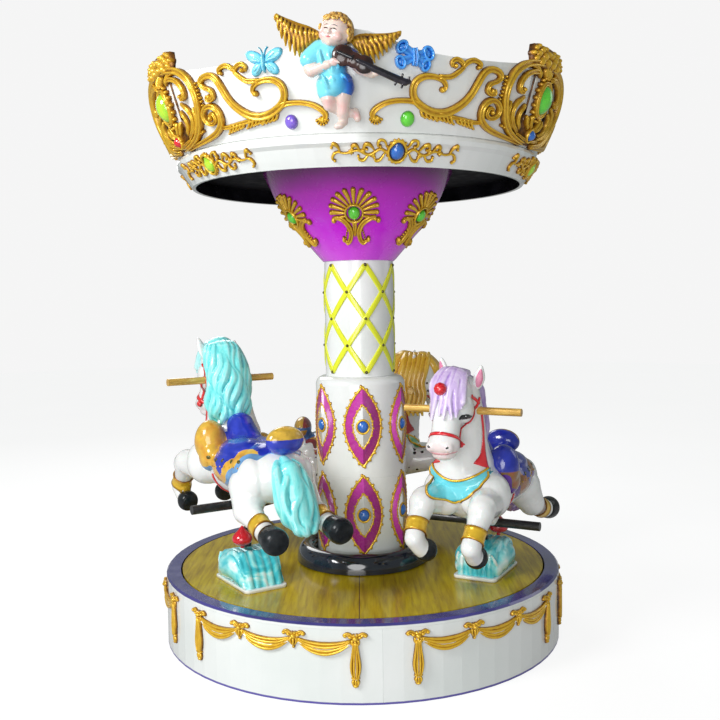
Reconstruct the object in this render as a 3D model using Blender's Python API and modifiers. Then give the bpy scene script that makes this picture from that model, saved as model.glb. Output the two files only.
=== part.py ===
"""A small fairground carousel: a round base with a turning deck, a painted
column under a crowned canopy, and three galloping horses that rise and fall.

Metres, +Z up. The origin is the centre of the base on the ground, and -Y is
the front. Azimuths named "front angle" run from -Y towards +X.
"""

import math

import bmesh
import bpy
from mathutils import Matrix, Vector

# Driving dimensions
BASE_RADIUS = 0.700
DECK_TOP = 0.240
RIM_WIDTH = 0.049
RUNNING_GAP = 0.006
SEAT_GAP = 0.0003
SHEET = 0.012
LOWER_COLUMN_RADIUS = 0.160
UPPER_COLUMN_RADIUS = 0.123
LOWER_COLUMN_TOP = 0.908
UPPER_COLUMN_TOP = 1.313
CAPITAL_TOP = 1.620
BAND_BOTTOM = 1.566
BAND_TOP = 1.656
CROWN_LOW_EDGE = 1.860
CROWN_LOBE_RISE = 0.070
CROWN_PHASE = -2.0
CHERUB_PHASE = 0.0
SKIRT_SEAM_ANGLE = 4.5
HORSE_RADIUS = 0.460
HORSE_AZIMUTHS = (215.0, 335.0, 90.0)
HORSE_YAW = 2.5
RISE = 0.0855
HORSE_LIFTS = (RISE, 0.0, 0.0)

# Sizes that follow from them
RIM_INNER = BASE_RADIUS - RIM_WIDTH
DECK_RADIUS = RIM_INNER - RUNNING_GAP
DECK_THICKNESS = 0.018
DECK_BOTTOM = DECK_TOP - DECK_THICKNESS
RIM_THICKNESS = 0.015
SKIRT_TOP = DECK_TOP - RIM_THICKNESS - SEAT_GAP
SKIRT_THICKNESS = 0.015
BASE_PLATE_THICKNESS = 0.015
HUB_RADIUS = 0.180
FOOT_RING_OUTER = 0.237
FOOT_RING_INNER = LOWER_COLUMN_RADIUS + 0.004
FOOT_RING_HEIGHT = 0.066
PEDESTAL_HEIGHT = 0.125
PEDESTAL_BACK = -0.128
PEDESTAL_FRONT = 0.108
PEDESTAL_SHIFT = 0.004
POST_RADIUS = 0.012
POST_CLEARANCE = 0.0008
DECK_BORE_CLEARANCE = 0.006
POST_FORWARD = 0.008
POST_BOTTOM = -0.100
CAP_FORWARD = -0.030
CAP_SIDE = 0.042
BAR_RADIUS = 0.0125
FOOT_BAR_RADIUS = 0.0150
BAR_HALF_LENGTH = 0.198
FOOT_BAR_HALF_LENGTH = 0.200
BAR_FORWARD = 0.202
BAR_HEIGHT = 0.580
FOOT_BAR_FORWARD = 0.011
FOOT_BAR_HEIGHT = 0.178
BIG_STEPS = 72
SMALL_STEPS = 36


def clear_scene():
    for item in list(bpy.data.objects):
        bpy.data.objects.remove(item, do_unlink=True)


def new_collection(name, hidden=False):
    group = bpy.data.collections.new(name)
    group.hide_render = hidden
    bpy.context.scene.collection.children.link(group)
    return group


def material(name, colour, roughness, metallic=0.0):
    made = bpy.data.materials.new(name)
    made.use_nodes = True
    shader = made.node_tree.nodes["Principled BSDF"]
    shader.inputs["Base Color"].default_value = (*colour, 1.0)
    shader.inputs["Roughness"].default_value = roughness
    shader.inputs["Metallic"].default_value = metallic
    return made


def polar(radius, angle, z=0.0):
    """A point at a front angle in degrees."""
    turn = math.radians(angle)
    return Vector((radius * math.sin(turn), -radius * math.cos(turn), z))


clear_scene()
PARTS = new_collection("carousel")
CUTTERS = new_collection("cutters", hidden=True)

WHITE = material("white_gelcoat", (0.82, 0.83, 0.82), 0.18)
BLUE = material("rim_blue", (0.05, 0.05, 0.32), 0.2)
WOOD = material("deck_wood", (0.38, 0.25, 0.03), 0.25)
BLACK = material("black_gloss", (0.012, 0.014, 0.02), 0.2)
STEEL = material("dark_steel", (0.05, 0.05, 0.05), 0.45, 0.6)
MAGENTA = material("capital_magenta", (0.45, 0.02, 0.42), 0.2)
CEILING = material("ceiling_dark", (0.02, 0.02, 0.022), 0.6)
GOLD = material("antique_gold", (0.62, 0.38, 0.07), 0.35, 0.4)
SKIN = material("cherub_paint", (0.85, 0.62, 0.52), 0.35)
HORSE_WHITE = material("horse_white", (0.85, 0.85, 0.85), 0.15)
SADDLE_BLUE = material("saddle_blue", (0.02, 0.03, 0.35), 0.2)
WAVE = material("wave_cyan", (0.3, 0.75, 0.85), 0.2)
RED = material("cap_red", (0.65, 0.02, 0.03), 0.25)
RUBBER = material("black_sleeve", (0.02, 0.02, 0.02), 0.5)
BAR_GOLD = material("bar_gold", (0.7, 0.45, 0.1), 0.35)


def add_object(name, mesh, paint, group=PARTS):
    made = bpy.data.objects.new(name, mesh)
    group.objects.link(made)
    if paint is not None:
        mesh.materials.append(paint)
    if group is CUTTERS:
        made.hide_render = True
        made.display_type = "WIRE"
    return made


def finish_mesh(bm, name, smooth=True):
    bmesh.ops.recalc_face_normals(bm, faces=bm.faces)
    mesh = bpy.data.meshes.new(name)
    bm.to_mesh(mesh)
    bm.free()
    if smooth:
        mesh.shade_smooth()
        mesh.set_sharp_from_angle(angle=math.radians(40))
    return mesh


def turned(name, profile, paint, steps=BIG_STEPS, group=PARTS):
    """A solid of revolution about Z from (radius, z) pairs, top to bottom."""
    mesh = bpy.data.meshes.new(name)
    points = [(radius, 0.0, z) for radius, z in profile]
    mesh.from_pydata(points, [(i, i + 1) for i in range(len(points) - 1)], [])
    made = add_object(name, mesh, paint, group)
    screw = made.modifiers.new("turn", "SCREW")
    screw.steps = steps
    screw.render_steps = steps
    screw.use_merge_vertices = True
    screw.merge_threshold = 0.0001
    screw.use_smooth_shade = True
    return made


def turned_ring(name, outline, paint, steps=BIG_STEPS, group=PARTS):
    """A ring from a closed (radius, z) outline that runs down the outside."""
    return turned(name, outline + outline[:1], paint, steps, group)


def swept_segment(name, outline, start, sweep, paint, steps, group=PARTS):
    """A closed (radius, z) outline swept through an arc of front angles."""
    bm = bmesh.new()
    corners = [bm.verts.new(polar(radius, start, z)) for radius, z in outline]
    face = bm.faces.new(corners)
    bmesh.ops.spin(
        bm,
        geom=[face],
        cent=(0.0, 0.0, 0.0),
        axis=(0.0, 0.0, 1.0),
        angle=math.radians(sweep),
        steps=steps,
        use_duplicate=False,
    )
    return add_object(name, finish_mesh(bm, name), paint, group)


def boolean(target, other, operation, label):
    step = target.modifiers.new(label, "BOOLEAN")
    step.operation = operation
    step.solver = "EXACT"
    step.use_self = operation == "UNION"
    step.object = other


def baked(source, name, paint, group=PARTS):
    """A new object that holds the evaluated mesh of another, which goes."""
    graph = bpy.context.evaluated_depsgraph_get()
    mesh = bpy.data.meshes.new_from_object(source.evaluated_get(graph))
    mesh.name = name
    mesh.materials.clear()
    place = source.matrix_world.copy()
    bpy.data.objects.remove(source, do_unlink=True)
    made = add_object(name, mesh, paint, group)
    made.matrix_world = place
    return made


def add_ball(bm, centre, radii, turn=None):
    shape = Matrix.Diagonal((*radii, 1.0))
    place = Matrix.Translation(centre) @ (turn or Matrix.Identity(4)) @ shape
    bmesh.ops.create_uvsphere(bm, u_segments=20, v_segments=14, radius=1.0, matrix=place)


def add_limb(bm, start, start_radius, end, end_radius):
    """A round limb that tapers between two balls."""
    start = Vector(start)
    end = Vector(end)
    run = end - start
    turn = run.to_track_quat("Z", "Y").to_matrix().to_4x4()
    place = Matrix.Translation((start + end) / 2) @ turn
    bmesh.ops.create_cone(
        bm,
        cap_ends=True,
        segments=18,
        radius1=start_radius,
        radius2=end_radius,
        depth=run.length,
        matrix=place,
    )
    add_ball(bm, start, (start_radius,) * 3)
    add_ball(bm, end, (end_radius,) * 3)


def add_chain(bm, stations):
    """Limbs one after another through (point, radius) stations."""
    for (start, start_radius), (end, end_radius) in zip(stations, stations[1:]):
        add_limb(bm, start, start_radius, end, end_radius)


def add_rib(bm, stations, height, radius_at, sink=0.004):
    """A moulded rib on a round wall, through stations of (angle, z, width).

    Its section is a ridge: the middle stands out by height, the edges lie in the wall.
    """
    grid = bmesh.ops.create_grid(bm, x_segments=len(stations) - 1, y_segments=2, size=0.5)
    cells = {face for vertex in grid["verts"] for face in vertex.link_faces}
    grown = bmesh.ops.extrude_face_region(bm, geom=list(cells))
    upper = {item for item in grown["geom"] if isinstance(item, bmesh.types.BMVert)}
    for vertex in set(grid["verts"]) | upper:
        step = round((vertex.co.x + 0.5) * (len(stations) - 1))
        angle, z, width = stations[step]
        before = stations[max(step - 1, 0)]
        after = stations[min(step + 1, len(stations) - 1)]
        radius = radius_at(z)
        run = Vector((math.radians(after[0] - before[0]) * radius, after[1] - before[1])).normalized()
        off = vertex.co.y * width
        ridge = height if abs(vertex.co.y) < 0.1 else -0.3 * sink
        out = ridge if vertex in upper else -sink
        turn = angle - math.degrees(run.y * off / radius)
        vertex.co = polar(radius + out, turn, z + run.x * off)


def add_boss(bm, angle, z, half_sizes, radius_at, sides=8, rings=4):
    """A domed boss on a round wall: half_sizes are across, up and outwards."""
    across, tall, out = half_sizes
    radius = radius_at(z) - 0.002
    place = Matrix.Translation(polar(radius, angle, z)) @ Matrix.Rotation(math.radians(angle), 4, "Z")
    lie = Matrix.Rotation(math.radians(90.0), 4, "X")
    size = Matrix.Diagonal((across, out + 0.002, tall, 1.0))
    bmesh.ops.create_uvsphere(
        bm, u_segments=sides, v_segments=rings, radius=1.0, matrix=place @ size @ lie
    )


def melded(name, bm, voxel, share, smoothing, paint, group=PARTS):
    """Overlapping shapes melded into one smooth closed skin."""
    mesh = bpy.data.meshes.new(name)
    bm.to_mesh(mesh)
    bm.free()
    made = add_object(name, mesh, None, group)
    remesh = made.modifiers.new("meld", "REMESH")
    remesh.mode = "VOXEL"
    remesh.voxel_size = voxel
    remesh.use_smooth_shade = True
    smooth = made.modifiers.new("soften", "SMOOTH")
    smooth.factor = 0.5
    smooth.iterations = smoothing
    thin = made.modifiers.new("thin", "DECIMATE")
    thin.ratio = share
    return baked(made, name, paint, group)


# Base, which stands still
base_plate = turned(
    "base_plate",
    [
        (0.0, BASE_PLATE_THICKNESS),
        (BASE_RADIUS - SKIRT_THICKNESS - SEAT_GAP, BASE_PLATE_THICKNESS),
        (BASE_RADIUS - SKIRT_THICKNESS - SEAT_GAP, 0.0),
        (0.0, 0.0),
    ],
    STEEL,
)
base_hub = turned(
    "base_hub",
    [
        (0.0, DECK_BOTTOM - SEAT_GAP),
        (HUB_RADIUS, DECK_BOTTOM - SEAT_GAP),
        (HUB_RADIUS, BASE_PLATE_THICKNESS + SEAT_GAP),
        (0.0, BASE_PLATE_THICKNESS + SEAT_GAP),
    ],
    STEEL,
    SMALL_STEPS,
)
SKIRT_OUTLINE = [
    (BASE_RADIUS, SKIRT_TOP),
    (BASE_RADIUS, 0.0),
    (BASE_RADIUS - SKIRT_THICKNESS, 0.0),
    (BASE_RADIUS - SKIRT_THICKNESS, SKIRT_TOP),
]
SEAM = math.degrees(SEAT_GAP / BASE_RADIUS)
SWAG_ANGLES = (-47.0, -32.0, -17.0, -2.0)
KNOT_HEIGHT = 0.200
SWAG_DROP = 0.026


def skirt_radius(_height):
    return BASE_RADIUS


def garland_mesh():
    """Three swags of cloth between four knots, with a tassel at each end."""
    bm = bmesh.new()
    for start, end in zip(SWAG_ANGLES, SWAG_ANGLES[1:]):
        stations = []
        for share in (0.08, 0.36, 0.64, 0.92):
            sag = 4.0 * share * (1.0 - share)
            angle = start + share * (end - start)
            stations.append((angle, KNOT_HEIGHT - 0.010 - SWAG_DROP * sag, 0.012 + 0.024 * sag))
        add_rib(bm, stations, 0.0085, skirt_radius)
    for angle in SWAG_ANGLES[1:-1]:
        add_boss(bm, angle, KNOT_HEIGHT + 0.002, (0.021, 0.0095, 0.011), skirt_radius, 6, 3)
    for angle in (SWAG_ANGLES[0], SWAG_ANGLES[-1]):
        tassel = [(angle, 0.212, 0.042), (angle, 0.182, 0.014), (angle, 0.104, 0.026), (angle, 0.056, 0.014)]
        add_rib(bm, tassel, 0.0090, skirt_radius)
    return finish_mesh(bm, "garland", smooth=False)


GARLAND = garland_mesh()
for number in range(6):
    panel = swept_segment(
        f"skirt_panel_{number + 1}",
        SKIRT_OUTLINE,
        SKIRT_SEAM_ANGLE + 60.0 * number + SEAM / 2,
        60.0 - SEAM,
        WHITE,
        12,
    )
    garland = add_object(f"garland_{number + 1}", GARLAND, None, CUTTERS)
    garland.rotation_euler.z = math.radians(60.0 * (number + 1))
    boolean(panel, garland, "UNION", "garland")
RIM_ROUND = 0.006
deck_rim = turned_ring(
    "deck_rim",
    [
        (RIM_INNER, DECK_TOP),
        (BASE_RADIUS - RIM_ROUND, DECK_TOP),
        (BASE_RADIUS, DECK_TOP - RIM_ROUND),
        (BASE_RADIUS, DECK_TOP - RIM_THICKNESS),
        (RIM_INNER, DECK_TOP - RIM_THICKNESS),
    ],
    BLUE,
)

# Turning deck and column
deck = turned(
    "deck",
    [(0.0, DECK_TOP), (DECK_RADIUS, DECK_TOP), (DECK_RADIUS, DECK_BOTTOM), (0.0, DECK_BOTTOM)],
    WOOD,
)


def foot_ring_outline():
    """A bumper: flat foot, round back, and a low inner lip."""
    foot = DECK_TOP + SEAT_GAP
    middle = (FOOT_RING_OUTER + FOOT_RING_INNER) / 2
    half = (FOOT_RING_OUTER - FOOT_RING_INNER) / 2
    arc = []
    for step in range(9):
        turn = math.radians(180.0 - 22.5 * step)
        lift = max(0.0, math.sin(turn)) ** 0.8
        arc.append((middle + half * math.cos(turn), foot + FOOT_RING_HEIGHT * lift))
    return arc


column_foot_ring = turned_ring("column_foot_ring", foot_ring_outline(), BLACK, SMALL_STEPS)
SHOULDER = 0.030
lower_column = turned(
    "lower_column",
    [
        (0.0, LOWER_COLUMN_TOP),
        (LOWER_COLUMN_RADIUS - SHOULDER, LOWER_COLUMN_TOP),
        (LOWER_COLUMN_RADIUS - 0.4 * SHOULDER, LOWER_COLUMN_TOP - 0.2 * SHOULDER),
        (LOWER_COLUMN_RADIUS - 0.1 * SHOULDER, LOWER_COLUMN_TOP - 0.6 * SHOULDER),
        (LOWER_COLUMN_RADIUS, LOWER_COLUMN_TOP - SHOULDER),
        (LOWER_COLUMN_RADIUS, DECK_TOP + SEAT_GAP),
        (0.0, DECK_TOP + SEAT_GAP),
    ],
    WHITE,
    SMALL_STEPS,
)
upper_column = turned(
    "upper_column",
    [
        (0.0, UPPER_COLUMN_TOP),
        (UPPER_COLUMN_RADIUS, UPPER_COLUMN_TOP),
        (UPPER_COLUMN_RADIUS, LOWER_COLUMN_TOP + SEAT_GAP),
        (0.0, LOWER_COLUMN_TOP + SEAT_GAP),
    ],
    WHITE,
    SMALL_STEPS,
)
CAPITAL_CURVE = [
    (0.335, CAPITAL_TOP),
    (0.312, 1.574),
    (0.290, 1.528),
    (0.258, 1.475),
    (0.225, 1.430),
    (0.200, 1.400),
    (0.166, 1.358),
    (0.127, UPPER_COLUMN_TOP + SEAT_GAP),
]
capital = turned(
    "capital",
    [(0.0, CAPITAL_TOP)] + CAPITAL_CURVE + [(0.0, UPPER_COLUMN_TOP + SEAT_GAP)],
    MAGENTA,
    SMALL_STEPS,
)

# Canopy
BAND_CURVE = [
    (0.619, BAND_TOP),
    (0.626, BAND_TOP - 0.005),
    (0.629, BAND_TOP - 0.015),
    (0.626, BAND_TOP - 0.028),
    (0.613, BAND_TOP - 0.038),
    (0.594, BAND_BOTTOM + 0.022),
    (0.583, BAND_BOTTOM + 0.006),
    (0.579, BAND_BOTTOM),
]
BAND_INNER = [(0.567, BAND_BOTTOM + 0.001), (0.590, BAND_TOP - 0.036), (0.604, BAND_TOP)]
CEILING_TOP = BAND_TOP - 0.016
canopy_ceiling = turned(
    "canopy_ceiling",
    [
        (0.0, CEILING_TOP),
        (0.5955, CEILING_TOP),
        (0.5892, CAPITAL_TOP + SEAT_GAP),
        (0.0, CAPITAL_TOP + SEAT_GAP),
    ],
    CEILING,
)


def crown_radius(z):
    """The outer face of the crown wall flares and then stands upright."""
    low = BAND_TOP + SEAT_GAP
    rise = min(1.0, max(0.0, (z - low) / 0.235))
    return 0.622 + 0.076 * math.sin(math.radians(90.0 * rise)) ** 1.15


def crown_top(angle):
    """The top edge swells behind each cherub and dips beside each cartouche."""
    off = (angle - CROWN_PHASE + 60.0) % 120.0 - 60.0
    lobe = math.exp(-((off / 13.0) ** 2))
    shoulder = 0.035 * math.exp(-(((abs(off) - 60.0) / 16.0) ** 2))
    return CROWN_LOW_EDGE + CROWN_LOBE_RISE * lobe + shoulder


def crown_point(angle, share, depth):
    low = BAND_TOP + SEAT_GAP
    z = low + share * (crown_top(angle) - low)
    return polar(crown_radius(z) - depth, angle, z)


def crown_segment(name, start, sweep, columns=24, rows=6):
    """A wall panel: a flat slab of cells wrapped round the crown."""
    bm = bmesh.new()
    bmesh.ops.create_grid(bm, x_segments=columns, y_segments=rows, size=0.5)
    grown = bmesh.ops.extrude_face_region(bm, geom=list(bm.faces))
    for item in grown["geom"]:
        if isinstance(item, bmesh.types.BMVert):
            item.co.z = SHEET
    for vertex in bm.verts:
        angle = start + (vertex.co.x + 0.5) * sweep
        vertex.co = crown_point(angle, vertex.co.y + 0.5, vertex.co.z)
    return add_object(name, finish_mesh(bm, name), WHITE)


for number in range(3):
    seam_angle = CROWN_PHASE + 60.0 + 120.0 * number
    seam = math.degrees(SEAT_GAP / 0.6)
    swept_segment(
        f"canopy_band_{number + 1}",
        BAND_CURVE + BAND_INNER,
        seam_angle + seam / 2,
        120.0 - seam,
        WHITE,
        24,
    )
    crown_segment(f"crown_panel_{number + 1}", seam_angle + seam / 2, 120.0 - seam)


WALL_LEVELS = [1.640, 1.690, 1.730, 1.770, 1.810, 1.850, 1.890, 2.100]
FACE_LEVELS = [1.640, 1.700, 1.765, 1.850, 2.100]


def crown_core(name, clearance, levels, steps):
    """A cutter with the crown's outer face, moved out by a clearance."""
    profile = [(crown_radius(z) + clearance, z) for z in levels]
    profile = [(0.0, levels[-1])] + profile[::-1] + [(0.0, levels[0])]
    core = turned(name, profile, None, steps, CUTTERS)
    core.rotation_euler.z = math.radians(CROWN_PHASE)
    return core


CARTOUCHE_DEPTH = 0.012
CROWN_CORE = crown_core("crown_core", 0.0012, WALL_LEVELS, BIG_STEPS)
CARTOUCHE_FACE = crown_core("cartouche_face", CARTOUCHE_DEPTH, FACE_LEVELS, SMALL_STEPS)


def crown_frame(angle):
    """Local axes on the crown wall: X along it, Y outwards, Z up."""
    turn = math.radians(angle)
    across = Vector((math.cos(turn), math.sin(turn), 0.0))
    outwards = Vector((math.sin(turn), -math.cos(turn), 0.0))
    frame = Matrix.Identity(4)
    for row in range(3):
        frame[row][0] = across[row]
        frame[row][1] = -outwards[row]
        frame[row][2] = (0.0, 0.0, 1.0)[row]
    return frame


CARTOUCHE_HALF = [
    (0.000, 1.657),
    (0.060, 1.662),
    (0.160, 1.674),
    (0.215, 1.684),
    (0.262, 1.700),
    (0.284, 1.724),
    (0.268, 1.754),
    (0.240, 1.770),
    (0.226, 1.784),
    (0.232, 1.802),
    (0.245, 1.824),
    (0.224, 1.848),
    (0.184, 1.868),
    (0.150, 1.884),
    (0.150, 1.934),
    (0.104, 1.946),
    (0.000, 1.950),
]


def cartouche_mesh():
    """The outline as a deep prism, ready to be trimmed to the wall's flare."""
    bm = bmesh.new()
    inner = -0.50
    right = [bm.verts.new((x, inner, z)) for x, z in CARTOUCHE_HALF]
    left = [bm.verts.new((-x, inner, z)) for x, z in CARTOUCHE_HALF[1:-1]]
    face = bm.faces.new(right + left[::-1])
    grown = bmesh.ops.extrude_face_region(bm, geom=[face])
    for item in grown["geom"]:
        if isinstance(item, bmesh.types.BMVert):
            item.co.y = -0.80
    return finish_mesh(bm, "cartouche", smooth=False)


def cartouche_carving():
    """The raised forms: an oval stone, a crest rib and a curl a side, and a knobbed finial."""
    bm = bmesh.new()
    add_boss(bm, 0.0, 1.797, (0.044, 0.051, 0.027), crown_radius, 10)
    add_boss(bm, 0.0, 1.692, (0.024, 0.023, 0.020), crown_radius, 6, 3)
    add_boss(bm, 0.0, 1.914, (0.108, 0.028, 0.030), crown_radius, 8)
    for side in (-1.0, 1.0):
        crest = [
            (3.5 * side, 1.889, 0.026), (13.8 * side, 1.862, 0.040), (17.2 * side, 1.785, 0.036), (14.0 * side, 1.704, 0.030),
        ]
        add_rib(bm, crest, 0.019, crown_radius)
        curl = [
            (20.6 * side, 1.752, 0.024), (22.8 * side, 1.724, 0.030), (17.0 * side, 1.685, 0.030), (5.0 * side, 1.670, 0.022),
        ]
        add_rib(bm, curl, 0.018, crown_radius)
    return finish_mesh(bm, "cartouche_carving", smooth=False)


CARVING = cartouche_carving()
for number in range(3):
    angle = CROWN_PHASE + 60.0 + 120.0 * number
    made = add_object(f"cartouche_{number + 1}", cartouche_mesh(), GOLD)
    made.matrix_world = crown_frame(angle)
    carving = add_object(f"cartouche_carving_{number + 1}", CARVING, None, CUTTERS)
    carving.rotation_euler.z = math.radians(angle)
    boolean(made, CARTOUCHE_FACE, "INTERSECT", "face_follows_wall")
    boolean(made, carving, "UNION", "carving")
    boolean(made, CROWN_CORE, "DIFFERENCE", "seat_on_wall")


def cherub_form(bm):
    """A winged child with a violin, one leg straight and one bent back."""
    wall = -crown_radius(1.80)
    front = wall - 0.035
    add_ball(bm, (-0.054, front - 0.012, 1.912), (0.049, 0.045, 0.047))
    trunk = [
        ((-0.072, front, 1.874), 0.022),
        ((-0.076, front, 1.848), 0.036),
        ((-0.066, front + 0.004, 1.800), 0.037),
        ((-0.058, front + 0.008, 1.776), 0.039),
    ]
    straight_leg = [
        ((-0.036, front + 0.010, 1.768), 0.027),
        ((-0.038, front + 0.020, 1.714), 0.019),
        ((-0.036, front + 0.036, 1.680), 0.013),
        ((-0.052, front + 0.036, 1.662), 0.011),
    ]
    bent_leg = [
        ((-0.084, front + 0.012, 1.764), 0.026),
        ((-0.077, front + 0.018, 1.718), 0.018),
        ((0.000, front + 0.036, 1.698), 0.014),
    ]
    bow_arm = [
        ((-0.108, front, 1.866), 0.022),
        ((-0.130, front - 0.008, 1.812), 0.018),
        ((-0.058, front - 0.030, 1.822), 0.013),
    ]
    neck_arm = [
        ((-0.036, front, 1.856), 0.018),
        ((0.010, front - 0.006, 1.822), 0.014),
        ((0.054, front - 0.018, 1.794), 0.013),
    ]
    for chain in (trunk, straight_leg, bent_leg, bow_arm, neck_arm):
        add_chain(bm, chain)
    violin_tilt = Matrix.Rotation(math.radians(23), 4, "Y")
    add_ball(bm, (-0.010, front - 0.026, 1.829), (0.062, 0.017, 0.031), violin_tilt)
    add_limb(bm, (0.030, front - 0.024, 1.812), 0.012, (0.142, front - 0.010, 1.767), 0.010)
    left_tilt = Matrix.Rotation(math.radians(24), 4, "Y")
    add_ball(bm, (-0.172, front + 0.010, 1.930), (0.056, 0.012, 0.022), left_tilt)
    add_ball(bm, (-0.154, front + 0.012, 1.894), (0.044, 0.013, 0.044))
    add_limb(bm, (-0.085, front + 0.012, 1.876), 0.016, (-0.140, front + 0.012, 1.900), 0.015)
    right_tilt = Matrix.Rotation(math.radians(-12), 4, "Y")
    add_ball(bm, (0.054, front + 0.012, 1.888), (0.068, 0.012, 0.022), right_tilt)
    add_ball(bm, (0.046, front + 0.014, 1.862), (0.036, 0.013, 0.032))
    add_limb(bm, (-0.050, front + 0.008, 1.866), 0.018, (0.040, front + 0.011, 1.874), 0.016)
    add_ball(bm, (-0.062, front + 0.020, 1.820), (0.048, 0.030, 0.060))


def cherub(number):
    bm = bmesh.new()
    cherub_form(bm)
    made = melded(f"cherub_{number + 1}", bm, 0.006, 0.065, 2, SKIN)
    made.matrix_world = crown_frame(CHERUB_PHASE + 120.0 * number)
    boolean(made, CROWN_CORE, "DIFFERENCE", "seat_on_wall")


for number in range(3):
    cherub(number)


# Horses
def horse_frame(azimuth, lift):
    """Local axes on the deck: X forwards, Y to the outer side, Z up."""
    side = math.radians(azimuth)
    turn = math.radians(azimuth - HORSE_YAW)
    forwards = Vector((math.sin(turn), -math.cos(turn), 0.0))
    outwards = Vector((math.cos(turn), math.sin(turn), 0.0))
    frame = Matrix.Identity(4)
    for row in range(3):
        frame[row][0] = forwards[row]
        frame[row][1] = outwards[row]
        frame[row][2] = (0.0, 0.0, 1.0)[row]
    frame[0][3] = HORSE_RADIUS * math.cos(side)
    frame[1][3] = HORSE_RADIUS * math.sin(side)
    frame[2][3] = DECK_TOP + lift
    return frame


def torso_form(bm):
    """Barrel, shoulders, haunches and the boss that takes the foot bar."""
    add_ball(bm, (-0.110, 0.0, 0.300), (0.130, 0.122, 0.092))
    add_ball(bm, (0.020, 0.0, 0.302), (0.140, 0.119, 0.096))
    add_ball(bm, (0.135, 0.0, 0.318), (0.098, 0.120, 0.104))
    add_ball(bm, (-0.198, 0.0, 0.300), (0.092, 0.116, 0.086))
    add_limb(bm, (0.012, -0.042, 0.184), 0.019, (0.012, 0.042, 0.184), 0.019)
    add_limb(bm, (0.012, 0.0, 0.196), 0.030, (0.012, 0.0, 0.230), 0.040)
    for side in (-1.0, 1.0):
        add_ball(bm, (0.163, 0.080 * side, 0.304), (0.068, 0.068, 0.078))
    add_ball(bm, (0.160, -0.016, 0.366), (0.078, 0.112, 0.070))


def neck_form(bm):
    """Neck and the long mane that hangs down behind it."""
    add_chain(
        bm,
        [
            ((0.142, -0.012, 0.385), 0.098),
            ((0.162, -0.012, 0.460), 0.082),
            ((0.178, 0.0, 0.560), 0.064),
            ((0.205, 0.0, 0.640), 0.058),
        ],
    )
    add_chain(
        bm,
        [
            ((0.196, 0.0, 0.672), 0.050),
            ((0.166, 0.0, 0.636), 0.060),
            ((0.142, 0.0, 0.565), 0.066),
            ((0.128, 0.0, 0.500), 0.066),
        ],
    )
    add_ball(bm, (0.150, 0.0, 0.590), (0.066, 0.072, 0.095))


def head_form(bm):
    """Broad forehead, straight nose, round muzzle and pricked ears."""
    add_ball(bm, (0.250, -0.018, 0.640), (0.062, 0.070, 0.066))
    add_chain(
        bm,
        [
            ((0.262, -0.012, 0.622), 0.062),
            ((0.305, -0.011, 0.545), 0.048),
            ((0.326, -0.010, 0.492), 0.047),
        ],
    )
    add_ball(bm, (0.330, -0.010, 0.488), (0.048, 0.053, 0.046))
    add_limb(bm, (0.202, 0.050, 0.668), 0.020, (0.230, 0.080, 0.708), 0.008)
    add_limb(bm, (0.198, -0.050, 0.684), 0.020, (0.205, -0.074, 0.742), 0.008)


def tail_form(bm):
    add_chain(
        bm,
        [
            ((-0.258, 0.0, 0.348), 0.038),
            ((-0.290, 0.0, 0.305), 0.050),
            ((-0.306, 0.0, 0.240), 0.058),
            ((-0.326, 0.0, 0.182), 0.048),
            ((-0.348, -0.012, 0.170), 0.034),
        ],
    )


def leg_form(bm):
    """Forelegs tucked under in a gallop and hind legs kicked back."""
    add_chain(
        bm,
        [
            ((0.160, 0.074, 0.286), 0.060),
            ((0.285, 0.100, 0.288), 0.045),
            ((0.345, 0.096, 0.222), 0.032),
            ((0.374, 0.093, 0.184), 0.031),
            ((0.345, 0.091, 0.152), 0.030),
            ((0.314, 0.090, 0.140), 0.036),
        ],
    )
    add_chain(
        bm,
        [
            ((0.160, -0.074, 0.286), 0.060),
            ((0.290, -0.094, 0.298), 0.045),
            ((0.352, -0.095, 0.236), 0.032),
            ((0.384, -0.088, 0.196), 0.031),
            ((0.368, -0.076, 0.166), 0.030),
            ((0.344, -0.064, 0.152), 0.036),
        ],
    )
    for side in (-1.0, 1.0):
        add_chain(
            bm,
            [
                ((-0.172, 0.078 * side, 0.272), 0.068),
                ((-0.207, 0.104 * side, 0.207), 0.048),
                ((-0.280, 0.105 * side, 0.178), 0.032),
                ((-0.335, 0.107 * side, 0.160), 0.033),
                ((-0.404, 0.111 * side, 0.150), 0.041),
            ],
        )


def horse_form(bm):
    """A galloping horse, with its mane and tail, over deck level."""
    torso_form(bm)
    neck_form(bm)
    head_form(bm)
    tail_form(bm)
    leg_form(bm)


def saddle_form(bm):
    """Seat, high pommel, cantle, knee rolls and the cloth on the flanks."""
    add_ball(bm, (-0.065, 0.0, 0.318), (0.185, 0.142, 0.090))
    add_ball(bm, (-0.150, 0.0, 0.322), (0.110, 0.130, 0.082))
    add_chain(
        bm,
        [
            ((-0.010, 0.0, 0.380), 0.050),
            ((0.035, 0.0, 0.400), 0.055),
            ((0.056, 0.0, 0.432), 0.047),
        ],
    )
    add_ball(bm, (-0.238, -0.014, 0.400), (0.038, 0.064, 0.052))
    add_ball(bm, (0.085, 0.098, 0.382), (0.048, 0.050, 0.072))
    add_ball(bm, (0.085, -0.088, 0.352), (0.045, 0.050, 0.048))


def box_mesh(name, low, high):
    bm = bmesh.new()
    low = Vector(low)
    high = Vector(high)
    place = Matrix.Translation((low + high) / 2) @ Matrix.Diagonal((*(high - low), 1.0))
    bmesh.ops.create_cube(bm, size=1.0, matrix=place)
    return finish_mesh(bm, name, smooth=False)


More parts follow.
